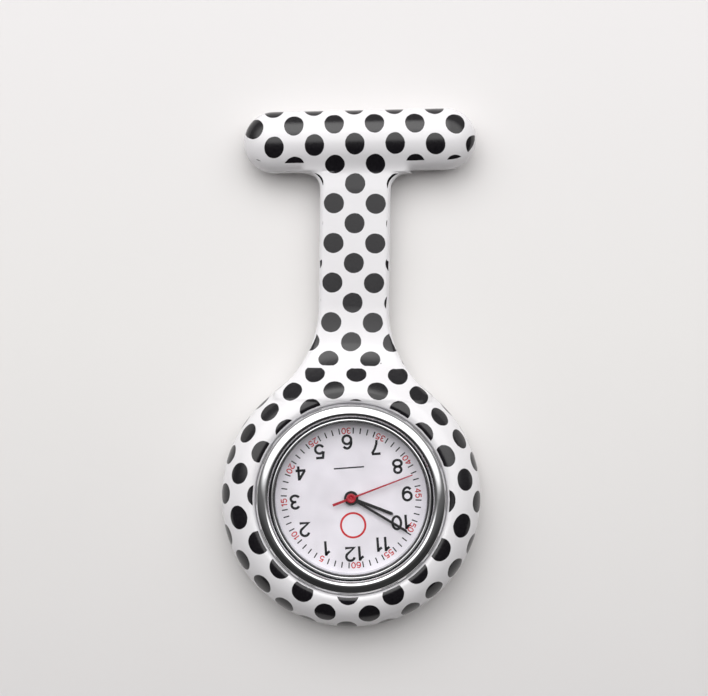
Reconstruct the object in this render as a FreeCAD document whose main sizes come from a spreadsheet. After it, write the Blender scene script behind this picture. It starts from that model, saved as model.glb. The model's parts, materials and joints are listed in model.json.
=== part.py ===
import FreeCAD, Part
import math
import os
import types

import Sketcher
from FreeCAD import Placement, Rotation, Vector

# A nurse's fob watch in a silicone holder, lying on its back.
# +X is right, +Y runs up the strap to the pin bar, +Z is out of the dial. The origin is halfway
# along the whole watch, on the plane that the holder's back and the brooch pin rest on.
# Each piece is built about the middle of the dial, and all are moved by half the length at the end.
# The watch module is built in a frame of its own, with +Y to 12 o'clock, and is turned into place.

SIZES = [
    # Silicone holder
    ("ring_wall", 6.0, "width of the ring outside the bezel"),
    ("ring_shoulder", 4.2, "height where the ring's front starts to round over"),
    ("ring_foot_round", 1.6, "rounding of the ring's back edge"),
    ("ring_over_bezel", 0.4, "how far the ring's front edge stands above the bezel's side"),
    ("back_lip_reach", 3.5, "how far the lip reaches in behind the case back"),
    ("back_lip", 1.3, "thickness of the lip behind the case back"),
    ("front_lip", 1.5, "thickness of the lip that grips the case under its bezel"),
    ("strap_width", 12.0, "width of the strap"),
    ("strap_thickness", 3.2, "thickness of the strap"),
    ("strap_back", 1.8, "height of the strap's back at the ring"),
    ("strap_rise", 1.2, "how much higher the strap is at the bar"),
    ("neck_radius", 18.0, "concave radius between strap and ring"),
    ("bar_distance", 60.5, "from the dial's middle to the bar's middle"),
    ("bar_length", 39.8, "length of the bar"),
    ("bar_width", 10.7, "width of the bar"),
    ("bar_back", 3.2, "height of the bar's back"),
    ("bar_thickness", 4.2, "thickness of the bar"),
    ("bar_round", 3.4, "rounding of the bar's front edge"),
    ("bar_fillet", 3.0, "concave radius between strap and bar"),
    # Brooch pin
    ("pin_plate_length", 29.0, "length of the brooch's base plate"),
    ("pin_plate_width", 4.6, "width of the base plate"),
    ("pin_plate_thickness", 0.6, "thickness of the base plate"),
    ("pin_axis_height", 1.45, "height of the needle's axis, and radius of ears and sleeve"),
    ("pin_end", 15.5, "distance of the rivet from the bar's middle"),
    ("needle_radius", 0.4, "radius of the needle's wire"),
    ("needle_gap", 0.1, "clearance beside the needle in its catch"),
    ("needle_eye", 1.0, "outer radius of the needle's eye"),
    ("needle_eye_width", 1.3, "width of the needle's eye"),
    ("rivet_radius", 0.4, "radius of the hinge rivet"),
    ("ear_thickness", 0.5, "thickness of each hinge ear"),
    ("catch_cheek", 0.8, "thickness of the catch's cheek"),
    ("catch_length", 4.0, "length of the catch's tube"),
    ("catch_wall", 0.35, "wall of the catch's tube"),
    ("catch_flange", 0.5, "thickness of the flange that keeps the sleeve on"),
    ("sleeve_lug", 1.1, "how far the sleeve's thumb lug stands out"),
    # Case
    ("bezel_radius", 16.0, "outer radius of the bezel"),
    ("bezel_band", 2.4, "width of the bezel's half-round band"),
    ("bezel_side", 1.0, "height of the bezel's straight side"),
    ("bezel_groove_width", 0.2, "width of the dark groove inside the band"),
    ("bezel_groove_depth", 0.5, "depth of that groove"),
    ("rim_width", 0.35, "width of the thin rim around the crystal"),
    ("rim_height", 0.2, "how far the rim stands above the crystal"),
    ("bezel_overhang", 0.5, "how far the bezel stands out over the case's body"),
    ("waist_depth", 0.6, "depth of the waist that the front lip fills"),
    ("case_wall", 1.45, "wall of the case round dial and movement"),
    ("ledge_width", 0.3, "width of the ledge under the crystal"),
    ("ledge_thickness", 0.4, "thickness of that ledge"),
    ("crystal_gasket_wall", 0.25, "wall of the crystal's gasket"),
    ("crystal_thickness", 1.2, "thickness of the crystal"),
    ("crystal_chamfer", 0.2, "chamfer round the crystal's front"),
    ("flange_height", 1.1, "height of the sloped flange ring over the dial"),
    ("case_back_inset", 0.3, "how much smaller than the case's body the case back is"),
    ("case_back_thickness", 0.8, "thickness of the case back"),
    ("case_back_spigot", 0.8, "height of the ring that snaps into the case"),
    ("spigot_wall", 0.6, "wall of that ring"),
    ("back_gasket_inset", 0.35, "wall between the bore and the case back's gasket groove"),
    ("back_gasket_width", 0.5, "width of that groove"),
    ("back_gasket_depth", 0.3, "depth of that groove"),
    # Dial and hands
    ("dial_edge_gap", 0.45, "clearance round the dial in the bore"),
    ("dial_thickness", 0.4, "thickness of the dial"),
    ("dial_bore", 1.0, "radius of the dial's middle hole"),
    ("dial_foot_radius", 0.3, "radius of a dial foot"),
    ("dial_foot_length", 0.7, "length of a dial foot"),
    ("dial_foot_place", 11.0, "distance of the feet from the middle"),
    ("hand_thickness", 0.15, "thickness of the hour and minute hands"),
    ("hand_step", 0.33, "height from one hand to the next"),
    ("hand_clearance", 0.25, "height of the hour hand over the dial"),
    ("hour_length", 7.6, "length of the hour hand"),
    ("hour_width", 0.5, "width of the hour hand"),
    ("minute_length", 11.0, "length of the minute hand"),
    ("minute_width", 0.42, "width of the minute hand"),
    ("hand_boss", 1.2, "radius of the boss of both hands"),
    ("second_length", 11.1, "length of the second hand"),
    ("second_tail", 3.3, "length of the second hand's tail"),
    ("second_width", 0.18, "width of the second hand"),
    ("second_tail_width", 0.42, "width of its tail"),
    ("second_hub", 1.0, "radius of its hub"),
    ("second_thickness", 0.1, "thickness of the second hand"),
    ("second_hub_height", 0.25, "height of its hub"),
    ("module_turn", 185.0, "turn of the module, which hangs upside down for the wearer"),
    ("hour_angle", 295.0, "hour hand, clockwise from 12"),
    ("minute_angle", 305.0, "minute hand, clockwise from 12"),
    ("second_angle", 253.5, "second hand, clockwise from 12"),
    # Movement
    ("movement_space", 1.55, "space between case back and movement"),
    ("movement_thickness", 3.15, "thickness of the movement"),
    ("movement_width", 15.3, "width of the movement"),
    ("movement_length", 17.8, "length of the movement"),
    ("holder_gap", 0.1, "clearance round the movement in its holder"),
    ("holder_foot", 0.9, "height of the holder's back over the case back"),
    ("bridge_thickness", 0.4, "thickness of the train bridge"),
    ("bridge_edge", 1.4, "how far the bridge reaches past the middle"),
    ("wheel_space", 1.45, "space between bridge and main plate"),
    ("recess_depth", 0.6, "depth of the recess for the motion works"),
    ("level_step", 0.35, "height from one wheel to the next"),
    ("wheel_thickness", 0.15, "thickness of a wheel"),
    ("pinion_length", 0.25, "length of a pinion"),
    ("arbor_radius", 0.12, "radius of a wheel's arbor"),
    ("pivot_gap", 0.02, "clearance round a pivot in its hole"),
    ("press_gap", 0.01, "clearance of a piece pushed on a post"),
    ("going_distance", 3.06, "centre distance of the third wheel from the middle"),
    ("fifth_distance", 3.0, "centre distance of the fifth wheel from the middle"),
    ("rotor_distance", 1.68, "centre distance of the rotor from the fifth wheel"),
    ("motion_distance", 2.4, "centre distance of the minute wheel from the middle"),
    ("third_direction", 150.0, "direction of the third wheel from 3 o'clock"),
    ("fifth_direction", 60.0, "direction of the fifth wheel"),
    ("rotor_direction", 103.8, "direction of the rotor from the fifth wheel"),
    ("motion_direction", -25.0, "direction of the minute wheel"),
    ("fourth_post", 0.15, "radius of the post that carries the second hand"),
    ("cannon_radius", 0.45, "outer radius of the cannon pinion's pipe"),
    ("hour_pipe", 0.8, "outer radius of the hour wheel's pipe"),
    ("magnet_radius", 0.75, "radius of the rotor's magnet"),
    ("magnet_length", 0.8, "length of the rotor's magnet"),
    ("stator_gap", 0.25, "gap between magnet and stator"),
    ("stator_thickness", 0.35, "thickness of the stator"),
    ("coil_radius", 0.8, "radius of the coil's winding"),
    ("coil_length", 7.2, "length of the coil's winding"),
    ("coil_place", 7.4, "distance of the coil from the middle"),
    ("core_width", 0.8, "width of the coil's core"),
    ("core_thickness", 0.3, "thickness of the coil's core"),
    ("battery_radius", 3.4, "radius of the cell"),
    ("battery_height", 2.6, "height of the cell"),
    ("battery_across", -3.9, "place of the cell across the movement"),
    ("battery_along", -5.05, "place of the cell along the movement"),
    ("contact_thickness", 0.12, "thickness of a battery contact"),
    ("board_thickness", 0.3, "thickness of the circuit board"),
    ("chip_side", 1.8, "side of the chip"),
    ("chip_height", 0.6, "height of the chip"),
    ("can_radius", 0.55, "radius of the timing crystal's can"),
    ("can_length", 5.0, "length of that can"),
    ("screw_radius", 0.35, "radius of a movement screw"),
    ("screw_head", 0.7, "radius of its head"),
    ("screw_head_height", 0.3, "height of its head"),
    ("screw_across", 6.6, "place of the screws across the movement"),
    ("screw_near", 3.2, "place of the nearer pair along the movement"),
    ("screw_far", 7.9, "place of the further pair"),
    # Crown and setting works
    ("stem_height", 1.2, "height of the stem's axis in the movement"),
    ("stem_radius", 0.45, "radius of the stem"),
    ("stem_start", 3.7, "inner end of the stem"),
    ("stem_neck", 0.25, "radius of the stem where the setting lever holds it"),
    ("lever_place", 6.0, "distance of the setting lever's pivot along the stem"),
    ("lever_arm", 2.0, "distance of the setting lever's pivot from the stem"),
    ("yoke_place", 4.6, "distance of the yoke's pivot along the stem"),
    ("yoke_arm", 2.2, "distance of the yoke's pivot from the stem"),
    ("lever_thickness", 0.16, "thickness of lever and yoke"),
    ("lever_pin", 0.3, "radius of the pins of lever and yoke"),
    ("clutch_radius", 0.62, "radius of the sliding pinion"),
    ("clutch_length", 1.2, "length of the sliding pinion"),
    ("crown_radius", 2.2, "radius of the crown"),
    ("crown_length", 1.9, "length of the crown's head"),
    ("crown_boss", 1.0, "radius of the crown's boss"),
    ("crown_tube", 1.25, "radius of the bore in the case for that boss"),
    ("crown_gap", 0.15, "gap between crown and case"),
    ("crown_travel", 1.0, "how far the crown pulls out"),
    ("crown_pocket_gap", 0.4, "clearance round the crown in the silicone"),
    # Clearances
    ("seat_gap", 0.1, "clearance of the case in the silicone"),
    ("running_gap", 0.05, "clearance of a turning piece on its post"),
]

WHEELS = {
    # wheel: (wheel's teeth, wheel's module, pinion's teeth, pinion's module)
    "fifth": (36, 0.08, 8, 0.125),
    "fourth": (40, 0.125, 8, 0.09),
    "third": (60, 0.09, 8, 0.085),
    "center": (64, 0.085, 12, 0.1),
    "minute": (36, 0.1, 10, 0.096),
    "hour": (40, 0.096, 0, 0.0),
}
ROTOR_TEETH = 6
ROTOR_MODULE = 0.08
SCREW_SIDES = [(-1, "screw_near"), (1, "screw_near"), (-1, "screw_far"), (1, "screw_far")]
CROWN_NOTCHES = 24


class Size:
    """A number that remembers the spreadsheet expression that it comes from."""

    def __init__(self, value, text):
        self.value = value
        self.text = text

    def __add__(self, other):
        other = as_size(other)
        return Size(self.value + other.value, f"({self.text} + {other.text})")

    def __sub__(self, other):
        other = as_size(other)
        return Size(self.value - other.value, f"({self.text} - {other.text})")

    def __mul__(self, other):
        other = as_size(other)
        return Size(self.value * other.value, f"({self.text} * {other.text})")

    def __truediv__(self, other):
        other = as_size(other)
        return Size(self.value / other.value, f"({self.text} / {other.text})")

    def __radd__(self, other):
        return as_size(other) + self

    def __rsub__(self, other):
        return as_size(other) - self

    def __rmul__(self, other):
        return as_size(other) * self

    def __neg__(self):
        return as_size(0) - self


def as_size(value):
    return value if isinstance(value, Size) else Size(float(value), f"({float(value)})")


def root(value):
    return Size(math.sqrt(value.value), f"sqrt({value.text})")


def sine(value):
    return Size(math.sin(math.radians(value.value)), f"sin({value.text})")


def cosine(value):
    return Size(math.cos(math.radians(value.value)), f"cos({value.text})")


# ---- The document and its spreadsheet

doc = FreeCAD.newDocument("fob_watch")


def fill_sheet():
    sheet = doc.addObject("Spreadsheet::Sheet", "Sizes")
    for row, (name, number, meaning) in enumerate(SIZES, 1):
        sheet.set(f"A{row}", name)
        sheet.set(f"B{row}", str(number))
        sheet.set(f"C{row}", meaning)
        sheet.setAlias(f"B{row}", name)
    doc.recompute()
    return types.SimpleNamespace(**{n: Size(getattr(sheet, n), f"Sizes.{n}") for n, _, _ in SIZES})


s = fill_sheet()
pieces = []

# ---- Levels, from the back of the holder to the top of the bezel

back_seat = s.back_lip + s.seat_gap
case_foot = back_seat + s.case_back_thickness
movement_foot = case_foot + s.movement_space
dial_seat = movement_foot + s.movement_thickness
dial_face = dial_seat + s.dial_thickness
ledge_foot = dial_face + s.flange_height
crystal_seat = ledge_foot + s.ledge_thickness
crystal_top = crystal_seat + s.crystal_thickness
bezel_shoulder = crystal_seat + s.bezel_side
ring_top = bezel_shoulder + s.ring_over_bezel
lip_top = crystal_seat - s.seat_gap
lip_foot = lip_top - s.front_lip
plate_foot = movement_foot + s.bridge_thickness + s.wheel_space
recess_floor = dial_seat - s.recess_depth
hour_level = dial_face + s.hand_clearance
minute_level = hour_level + s.hand_step
second_level = minute_level + s.hand_step
stem_level = movement_foot + s.stem_height
bar_front = s.bar_back + s.bar_thickness

# ---- Radii that mating pieces share

ring_radius = s.bezel_radius + s.ring_wall
case_radius = s.bezel_radius - s.bezel_overhang
case_bore = case_radius - s.case_wall
case_back_radius = case_radius - s.case_back_inset
back_opening = case_radius - s.back_lip_reach
gasket_inner = case_bore + s.back_gasket_inset
dial_radius = case_bore - s.dial_edge_gap
crystal_bore = s.bezel_radius - s.bezel_band - s.bezel_groove_width - s.rim_width
crystal_radius = crystal_bore - s.crystal_gasket_wall
ledge_radius = crystal_bore - s.ledge_width
waist_radius = case_radius - s.waist_depth

# ---- Where strap, ring and bar meet

strap_side = s.strap_width / 2
neck_across = strap_side + s.neck_radius
neck_reach = ring_radius + s.neck_radius
neck_top = root(neck_reach * neck_reach - neck_across * neck_across)
neck_side = neck_across * ring_radius / neck_reach
neck_foot = neck_top * ring_radius / neck_reach
bar_foot = s.bar_distance - s.bar_width / 2
strap_top = bar_foot - s.bar_fillet
bar_strap_back = s.strap_back + s.strap_rise

# ---- Arbors of the movement, in the module's frame

third_place = (s.going_distance * cosine(s.third_direction),
               s.going_distance * sine(s.third_direction))
fifth_place = (s.fifth_distance * cosine(s.fifth_direction),
               s.fifth_distance * sine(s.fifth_direction))
rotor_place = (fifth_place[0] + s.rotor_distance * cosine(s.rotor_direction),
               fifth_place[1] + s.rotor_distance * sine(s.rotor_direction))
minute_place = (s.motion_distance * cosine(s.motion_direction),
                s.motion_distance * sine(s.motion_direction))
battery_place = (s.battery_across, s.battery_along)
screw_places = [(side * s.screw_across, getattr(s, along)) for side, along in SCREW_SIDES]
lever_pivot = (s.lever_place, s.lever_arm)
yoke_pivot = (s.yoke_place, -s.yoke_arm)
foot_places = [(as_size(0), s.dial_foot_place), (as_size(0), -s.dial_foot_place)]


def train_level(number):
    """The underside of a wheel in the going train, counted from the bridge."""
    return movement_foot + s.bridge_thickness + 0.1 + s.level_step * number


# ---- Ways of building


def plane_of(body, role):
    return next(f for f in body.Origin.OriginFeatures if f.Role == role)


def new_body(label):
    body = doc.addObject("PartDesign::Body", label)
    body.Label = label
    pieces.append(body)
    return body


def keep(thing, label):
    """Names a finished object that isn't a body, and lists it as a piece."""
    thing.Label = label
    pieces.append(thing)
    return thing


def new_sketch(body, plane, level):
    sketch = body.newObject("Sketcher::SketchObject", "sketch")
    sketch.AttachmentSupport = [(plane_of(body, plane), "")]
    sketch.MapMode = "FlatFace"
    level = as_size(level)
    sketch.AttachmentOffset = Placement(Vector(0, 0, level.value), Rotation())
    sketch.setExpression("AttachmentOffset.Base.z", level.text)
    return sketch


def fix(sketch, kind, *where, value):
    """Adds a dimension and binds it to its expression."""
    value = as_size(value)
    index = sketch.addConstraint(Sketcher.Constraint(kind, *where, value.value))
    sketch.setExpression(f"Constraints[{index}]", value.text)


def arc_middle(start, end, radius):
    """The middle of the short arc from start to end. A radius above 0 has its centre on the left."""
    chord = end - start
    left = Vector(-chord.y, chord.x, 0).normalize() * math.copysign(1, radius)
    rise = math.sqrt(max(radius * radius - chord.Length ** 2 / 4, 0))
    return (start + end) / 2 + left * (rise - abs(radius))


def outline(body, plane, corners, level=0):
    """A closed outline through corners (x, y). A third value is the radius of the arc that follows."""
    sketch = new_sketch(body, plane, level)
    corners = [tuple(as_size(value) for value in corner) for corner in corners]
    points = [Vector(corner[0].value, corner[1].value, 0) for corner in corners]
    starts, ends = [], []
    for index, corner in enumerate(corners):
        start, end = points[index], points[(index + 1) % len(points)]
        radius = corner[2].value if len(corner) > 2 else 0
        if radius == 0:
            sketch.addGeometry(Part.LineSegment(start, end))
        elif radius > 0:
            sketch.addGeometry(Part.Arc(start, arc_middle(start, end, radius), end))
        else:
            sketch.addGeometry(Part.Arc(end, arc_middle(start, end, radius), start))
        starts.append((index, 1 if radius >= 0 else 2))
        ends.append((index, 2 if radius >= 0 else 1))
    for index in range(len(corners)):
        following = starts[(index + 1) % len(corners)]
        sketch.addConstraint(Sketcher.Constraint("Coincident", *ends[index], *following))
    for index, corner in enumerate(corners):
        fix(sketch, "DistanceX", -1, 1, *starts[index], value=corner[0])
        fix(sketch, "DistanceY", -1, 1, *starts[index], value=corner[1])
        if len(corner) > 2:
            size = corner[2] if corner[2].value > 0 else -corner[2]
            fix(sketch, "Radius", index, value=size)
    return sketch


def circles(body, plane, rounds, level=0):
    """A sketch of circles (x, y, radius)."""
    sketch = new_sketch(body, plane, level)
    for index, (x, y, radius) in enumerate(rounds):
        x, y, radius = as_size(x), as_size(y), as_size(radius)
        sketch.addGeometry(Part.Circle(Vector(x.value, y.value, 0), Vector(0, 0, 1), radius.value))
        fix(sketch, "DistanceX", -1, 1, index, 3, value=x)
        fix(sketch, "DistanceY", -1, 1, index, 3, value=y)
        fix(sketch, "Radius", index, value=radius)
    return sketch


def box_corners(x0, x1, y0, y1):
    return [(x0, y0), (x1, y0), (x1, y1), (x0, y1)]


def extrude(body, kind, sketch, length, reverse=False):
    feature = body.newObject(kind, "feature")
    feature.Profile = sketch
    feature.Length = as_size(length).value
    feature.setExpression("Length", as_size(length).text)
    feature.Reversed = reverse
    sketch.Visibility = False
    return feature


def pad(body, sketch, length, reverse=False):
    return extrude(body, "PartDesign::Pad", sketch, length, reverse)


def pocket(body, sketch, length, reverse=True):
    """Cuts from the sketch along its plane's normal."""
    return extrude(body, "PartDesign::Pocket", sketch, length, reverse)


def turn_profile(body, sketch, axis="V_Axis", kind="PartDesign::Revolution"):
    feature = body.newObject(kind, "turned")
    feature.Profile = sketch
    feature.ReferenceAxis = (sketch, [axis])
    feature.Angle = 360
    return feature


def turned(label, corners, axis="V_Axis"):
    """A piece turned from one profile: (radius, height), or (length, radius) about H_Axis."""
    body = new_body(label)
    turn_profile(body, outline(body, "XZ_Plane", corners), axis)
    return body


def repeat(body, feature, count, axis="Z_Axis"):
    pattern = body.newObject("PartDesign::PolarPattern", "pattern")
    pattern.Originals = [feature]
    pattern.Axis = (plane_of(body, axis), [""])
    pattern.Angle = 360
    pattern.Occurrences = count
    body.Tip = pattern
    return pattern


def round_edges(body, radius, wanted):
    """Rounds the edges of the body's shape that wanted picks."""
    doc.recompute()
    base = body.Tip
    names = [f"Edge{n}" for n, edge in enumerate(base.Shape.Edges, 1) if wanted(edge)]
    fillet = body.newObject("PartDesign::Fillet", "fillet")
    fillet.Base = (base, names)
    fillet.Radius = radius.value
    fillet.setExpression("Radius", radius.text)
    return fillet


def place(piece, x=0, y=0, height=0, turn=0.0):
    """Puts a piece in the holder's frame."""
    at = Vector(as_size(x).value, as_size(y).value, as_size(height).value)
    piece.Placement = Placement(at, Rotation(Vector(0, 0, 1), turn))
    return piece


def place_in_module(piece, x=0, y=0, height=0, turn=0.0):
    """Puts a piece in the watch module, which is turned in the holder."""
    at = Vector(as_size(x).value, as_size(y).value, as_size(height).value)
    module = Placement(Vector(), Rotation(Vector(0, 0, 1), s.module_turn.value))
    piece.Placement = module * Placement(at, Rotation(Vector(0, 0, 1), turn))
    return piece


# ---- Silicone holder


def make_holder_ring():
    body = new_body("holder_ring")
    rounding = ring_top - s.ring_shoulder
    front = ring_radius - s.bezel_radius - s.seat_gap
    front_radius = (front * front + rounding * rounding) / (front * 2)
    bezel_bore = s.bezel_radius + s.seat_gap
    case_seat = case_radius + s.seat_gap
    profile = [
        (back_opening, 0),
        (ring_radius - s.ring_foot_round, 0, s.ring_foot_round),
        (ring_radius, s.ring_foot_round),
        (ring_radius, s.ring_shoulder, front_radius),
        (bezel_bore, ring_top),
        (bezel_bore, lip_top),
        (waist_radius + s.seat_gap / 2, lip_top),
        (waist_radius + s.seat_gap / 2, lip_foot),
        (case_seat, lip_foot),
        (case_seat, s.back_lip),
        (back_opening, s.back_lip),
    ]
    turn_profile(body, outline(body, "XZ_Plane", profile))
    neck = [
        (-neck_side, neck_foot, s.neck_radius),
        (-strap_side, neck_top),
        (strap_side, neck_top, s.neck_radius),
        (neck_side, neck_foot),
        (strap_side, neck_foot - 1),
        (-strap_side, neck_foot - 1),
    ]
    pad(body, outline(body, "XY_Plane", neck, s.strap_back), s.strap_thickness)
    cut_crown_pocket(body)
    return body


def cut_crown_pocket(body):
    """The crown lies at 3 o'clock of the turned module, in a pocket inside the ring's wall."""
    angle = s.module_turn
    start = case_radius - 1
    end = case_radius + s.crown_gap + s.crown_length + s.crown_travel + s.crown_pocket_gap
    sketch = circles(body, "YZ_Plane", [(0, stem_level, s.crown_radius + s.crown_pocket_gap)])
    sketch.AttachmentOffset = Placement(
        Vector(start.value * math.sin(math.radians(angle.value)), 0,
               start.value * math.cos(math.radians(angle.value))),
        Rotation(Vector(0, 1, 0), angle.value))
    sketch.setExpression("AttachmentOffset.Base.x", (start * sine(angle)).text)
    sketch.setExpression("AttachmentOffset.Base.z", (start * cosine(angle)).text)
    pocket(body, sketch, end - start)


def make_holder_strap():
    """The strap, which climbs from the ring to the bar."""
    body = new_body("holder_strap")
    corners = [
        (neck_top, s.strap_back),
        (strap_top, bar_strap_back),
        (strap_top, bar_strap_back + s.strap_thickness),
        (neck_top, s.strap_back + s.strap_thickness),
    ]
    pad(body, outline(body, "YZ_Plane", corners, -strap_side), s.strap_width)
    return body


def make_holder_bar():
    """The pin bar: a rounded bar, and the foot of the strap that flares into it."""
    body = new_body("holder_bar")
    end = s.bar_length / 2 - s.bar_width / 2
    half = s.bar_width / 2
    low, high = s.bar_distance - half, s.bar_distance + half
    # Each round end is two quarter arcs.
    capsule = [
        (-end, low),
        (end, low, half),
        (end + half, s.bar_distance, half),
        (end, high),
        (-end, high, half),
        (-end - half, s.bar_distance, half),
    ]
    pad(body, outline(body, "XY_Plane", capsule, s.bar_back), s.bar_thickness)
    front = bar_front.value
    round_edges(body, s.bar_round, lambda edge: all(abs(v.Z - front) < 1e-6 for v in edge.Vertexes))
    flare = strap_side + s.bar_fillet
    foot = [
        (-strap_side, strap_top),
        (strap_side, strap_top, -s.bar_fillet),
        (flare, bar_foot),
        (flare, bar_foot + 1.5),
        (-flare, bar_foot + 1.5),
        (-flare, bar_foot, -s.bar_fillet),
    ]
    pad(body, outline(body, "XY_Plane", foot, bar_strap_back), s.strap_thickness)
    return body


# ---- Brooch pin


def make_pin_base_plate():
    """A plate with two ears at one end, which hold the rivet."""
    body = new_body("pin_base_plate")
    ear_round = s.pin_axis_height
    left = -s.pin_end - ear_round
    half = s.pin_plate_width / 2
    foot = s.bar_back - s.pin_plate_thickness
    corners = box_corners(left, left + s.pin_plate_length, -half, half)
    pad(body, outline(body, "XY_Plane", corners, foot), s.pin_plate_thickness)
    inner = s.needle_eye_width / 2 + s.needle_gap
    profile = [
        (left, s.pin_axis_height, ear_round),
        (-s.pin_end, 0, ear_round),
        (-s.pin_end + ear_round, s.pin_axis_height),
        (-s.pin_end + ear_round, foot + 0.1),
        (left, foot + 0.1),
    ]
    for side in (1, -1):
        level = inner if side < 0 else -inner - s.ear_thickness
        pad(body, outline(body, "XZ_Plane", profile, level), s.ear_thickness)
    bore = circles(body, "XZ_Plane", [(-s.pin_end, s.pin_axis_height, s.rivet_radius)], -half)
    pocket(body, bore, s.pin_plate_width)
    return place(body, 0, s.bar_distance)


def make_hinge_rivet():
    body = new_body("hinge_rivet")
    reach = s.needle_eye_width / 2 + s.needle_gap + s.ear_thickness
    head = s.rivet_radius + 0.25
    shank = circles(body, "XZ_Plane", [(0, 0, s.rivet_radius)], -reach)
    pad(body, shank, reach * 2)
    for level in (reach, -reach - 0.2):
        pad(body, circles(body, "XZ_Plane", [(0, 0, head)], level), 0.2)
    return place(body, -s.pin_end, s.bar_distance, s.pin_axis_height)


def make_pin_needle():
    """A wire with an eye round the rivet and a ground point."""
    body = new_body("pin_needle")
    tip = s.pin_end + s.pin_end
    half = s.needle_eye_width / 2
    pad(body, circles(body, "XZ_Plane", [(0, 0, s.needle_eye)], -half), s.needle_eye_width)
    wire = [
        (s.needle_eye / 2, 0),
        (s.needle_eye / 2, s.needle_radius),
        (tip - 3, s.needle_radius),
        (tip, 0.05),
        (tip, 0),
    ]
    turn_profile(body, outline(body, "XZ_Plane", wire), "H_Axis")
    eye = circles(body, "XZ_Plane", [(0, 0, s.rivet_radius + s.running_gap)], -half - 1)
    pocket(body, eye, s.needle_eye_width + 2)
    return place(body, -s.pin_end, s.bar_distance, s.pin_axis_height)


def make_catch_body():
    """A cheek on the plate, a slit tube that takes the needle, and a flange that ends it."""
    body = new_body("catch_body")
    start = s.pin_plate_length - s.pin_end - s.pin_axis_height - s.catch_cheek
    bore = s.needle_radius + s.needle_gap * 2
    slot = s.needle_radius + s.needle_gap
    cheek_side = s.pin_axis_height
    plate_foot_level = s.bar_back - s.pin_plate_thickness - s.pin_axis_height
    cheek = box_corners(-cheek_side, cheek_side, -s.pin_axis_height * 0.8, plate_foot_level)
    pad(body, outline(body, "YZ_Plane", cheek, start), s.catch_cheek)
    tube = start + s.catch_cheek
    pad(body, circles(body, "YZ_Plane", [(0, 0, bore + s.catch_wall)], tube), s.catch_length)
    flange = tube + s.catch_length
    pad(body, circles(body, "YZ_Plane", [(0, 0, s.pin_axis_height)], flange), s.catch_flange)
    length = s.catch_cheek + s.catch_length
    pocket(body, circles(body, "YZ_Plane", [(0, 0, bore)], start - 1), length + 1)
    slit = box_corners(-slot, slot, -s.pin_axis_height - 1, 0)
    pocket(body, outline(body, "YZ_Plane", slit, start - 1), length + 1)
    return place(body, 0, s.bar_distance, s.pin_axis_height)


def make_catch_sleeve():
    """The slit sleeve that rolls over the catch and locks the needle in, with its thumb lug."""
    body = new_body("catch_sleeve")
    start = s.pin_plate_length - s.pin_end - s.pin_axis_height + s.running_gap
    length = s.catch_length - s.running_gap * 2
    bore = s.needle_radius + s.needle_gap * 2 + s.catch_wall + s.running_gap
    slot = s.needle_radius + s.needle_gap
    pad(body, circles(body, "YZ_Plane", [(0, 0, s.pin_axis_height)], start), length)
    lug = box_corners(-s.pin_axis_height - s.sleeve_lug, -bore, -0.4, 0.4)
    pad(body, outline(body, "YZ_Plane", lug, start + length * 0.3), length * 0.4)
    pocket(body, circles(body, "YZ_Plane", [(0, 0, bore)], start - 1), length + 2)
    slit = box_corners(-slot, slot, -s.pin_axis_height - 1, 0)
    pocket(body, outline(body, "YZ_Plane", slit, start - 1), length + 2)
    return place(body, 0, s.bar_distance, s.pin_axis_height)


# ---- Case


def make_watch_case():
    band = s.bezel_band / 2
    crest = s.bezel_radius - band
    groove_outer = s.bezel_radius - s.bezel_band
    groove_inner = groove_outer - s.bezel_groove_width
    groove_floor = bezel_shoulder - s.bezel_groove_depth
    rim_top = crystal_top + s.rim_height
    gasket_outer = gasket_inner + s.back_gasket_width
    gasket_top = case_foot + s.back_gasket_depth
    profile = [
        (case_radius, case_foot),
        (case_radius, lip_foot - s.seat_gap),
        (waist_radius, lip_foot - s.seat_gap),
        (waist_radius, crystal_seat),
        (s.bezel_radius, crystal_seat),
        (s.bezel_radius, bezel_shoulder, band),
        (crest, bezel_shoulder + band, band),
        (groove_outer, bezel_shoulder),
        (groove_outer, groove_floor),
        (groove_inner, groove_floor),
        (groove_inner, rim_top - 0.1),
        (groove_inner - 0.1, rim_top),
        (crystal_bore, rim_top),
        (crystal_bore, crystal_seat),
        (ledge_radius, crystal_seat),
        (ledge_radius, ledge_foot),
        (case_bore, ledge_foot),
        (case_bore, case_foot),
        (gasket_inner, case_foot),
        (gasket_inner, gasket_top),
        (gasket_outer, gasket_top),
        (gasket_outer, case_foot),
    ]
    body = turned("watch_case", profile)
    tube = circles(body, "YZ_Plane", [(0, stem_level, s.crown_tube)], case_bore - 1)
    pocket(body, tube, case_radius - case_bore + 2)
    return place_in_module(body)


def make_crystal():
    return turned("crystal", [
        (0, crystal_seat),
        (crystal_radius, crystal_seat),
        (crystal_radius, crystal_top - s.crystal_chamfer),
        (crystal_radius - s.crystal_chamfer, crystal_top),
        (0, crystal_top),
    ])


def make_crystal_gasket():
    return turned("crystal_gasket", [
        (crystal_radius, crystal_seat),
        (crystal_bore, crystal_seat),
        (crystal_bore, crystal_top - s.crystal_chamfer),
        (crystal_radius, crystal_top - s.crystal_chamfer),
    ])


def make_flange_ring():
    outer = case_bore - s.running_gap
    return turned("flange_ring", [
        (ledge_radius - 0.1, dial_face),
        (outer, dial_face),
        (outer, ledge_foot),
        (ledge_radius + 0.05, ledge_foot),
    ])


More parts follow.
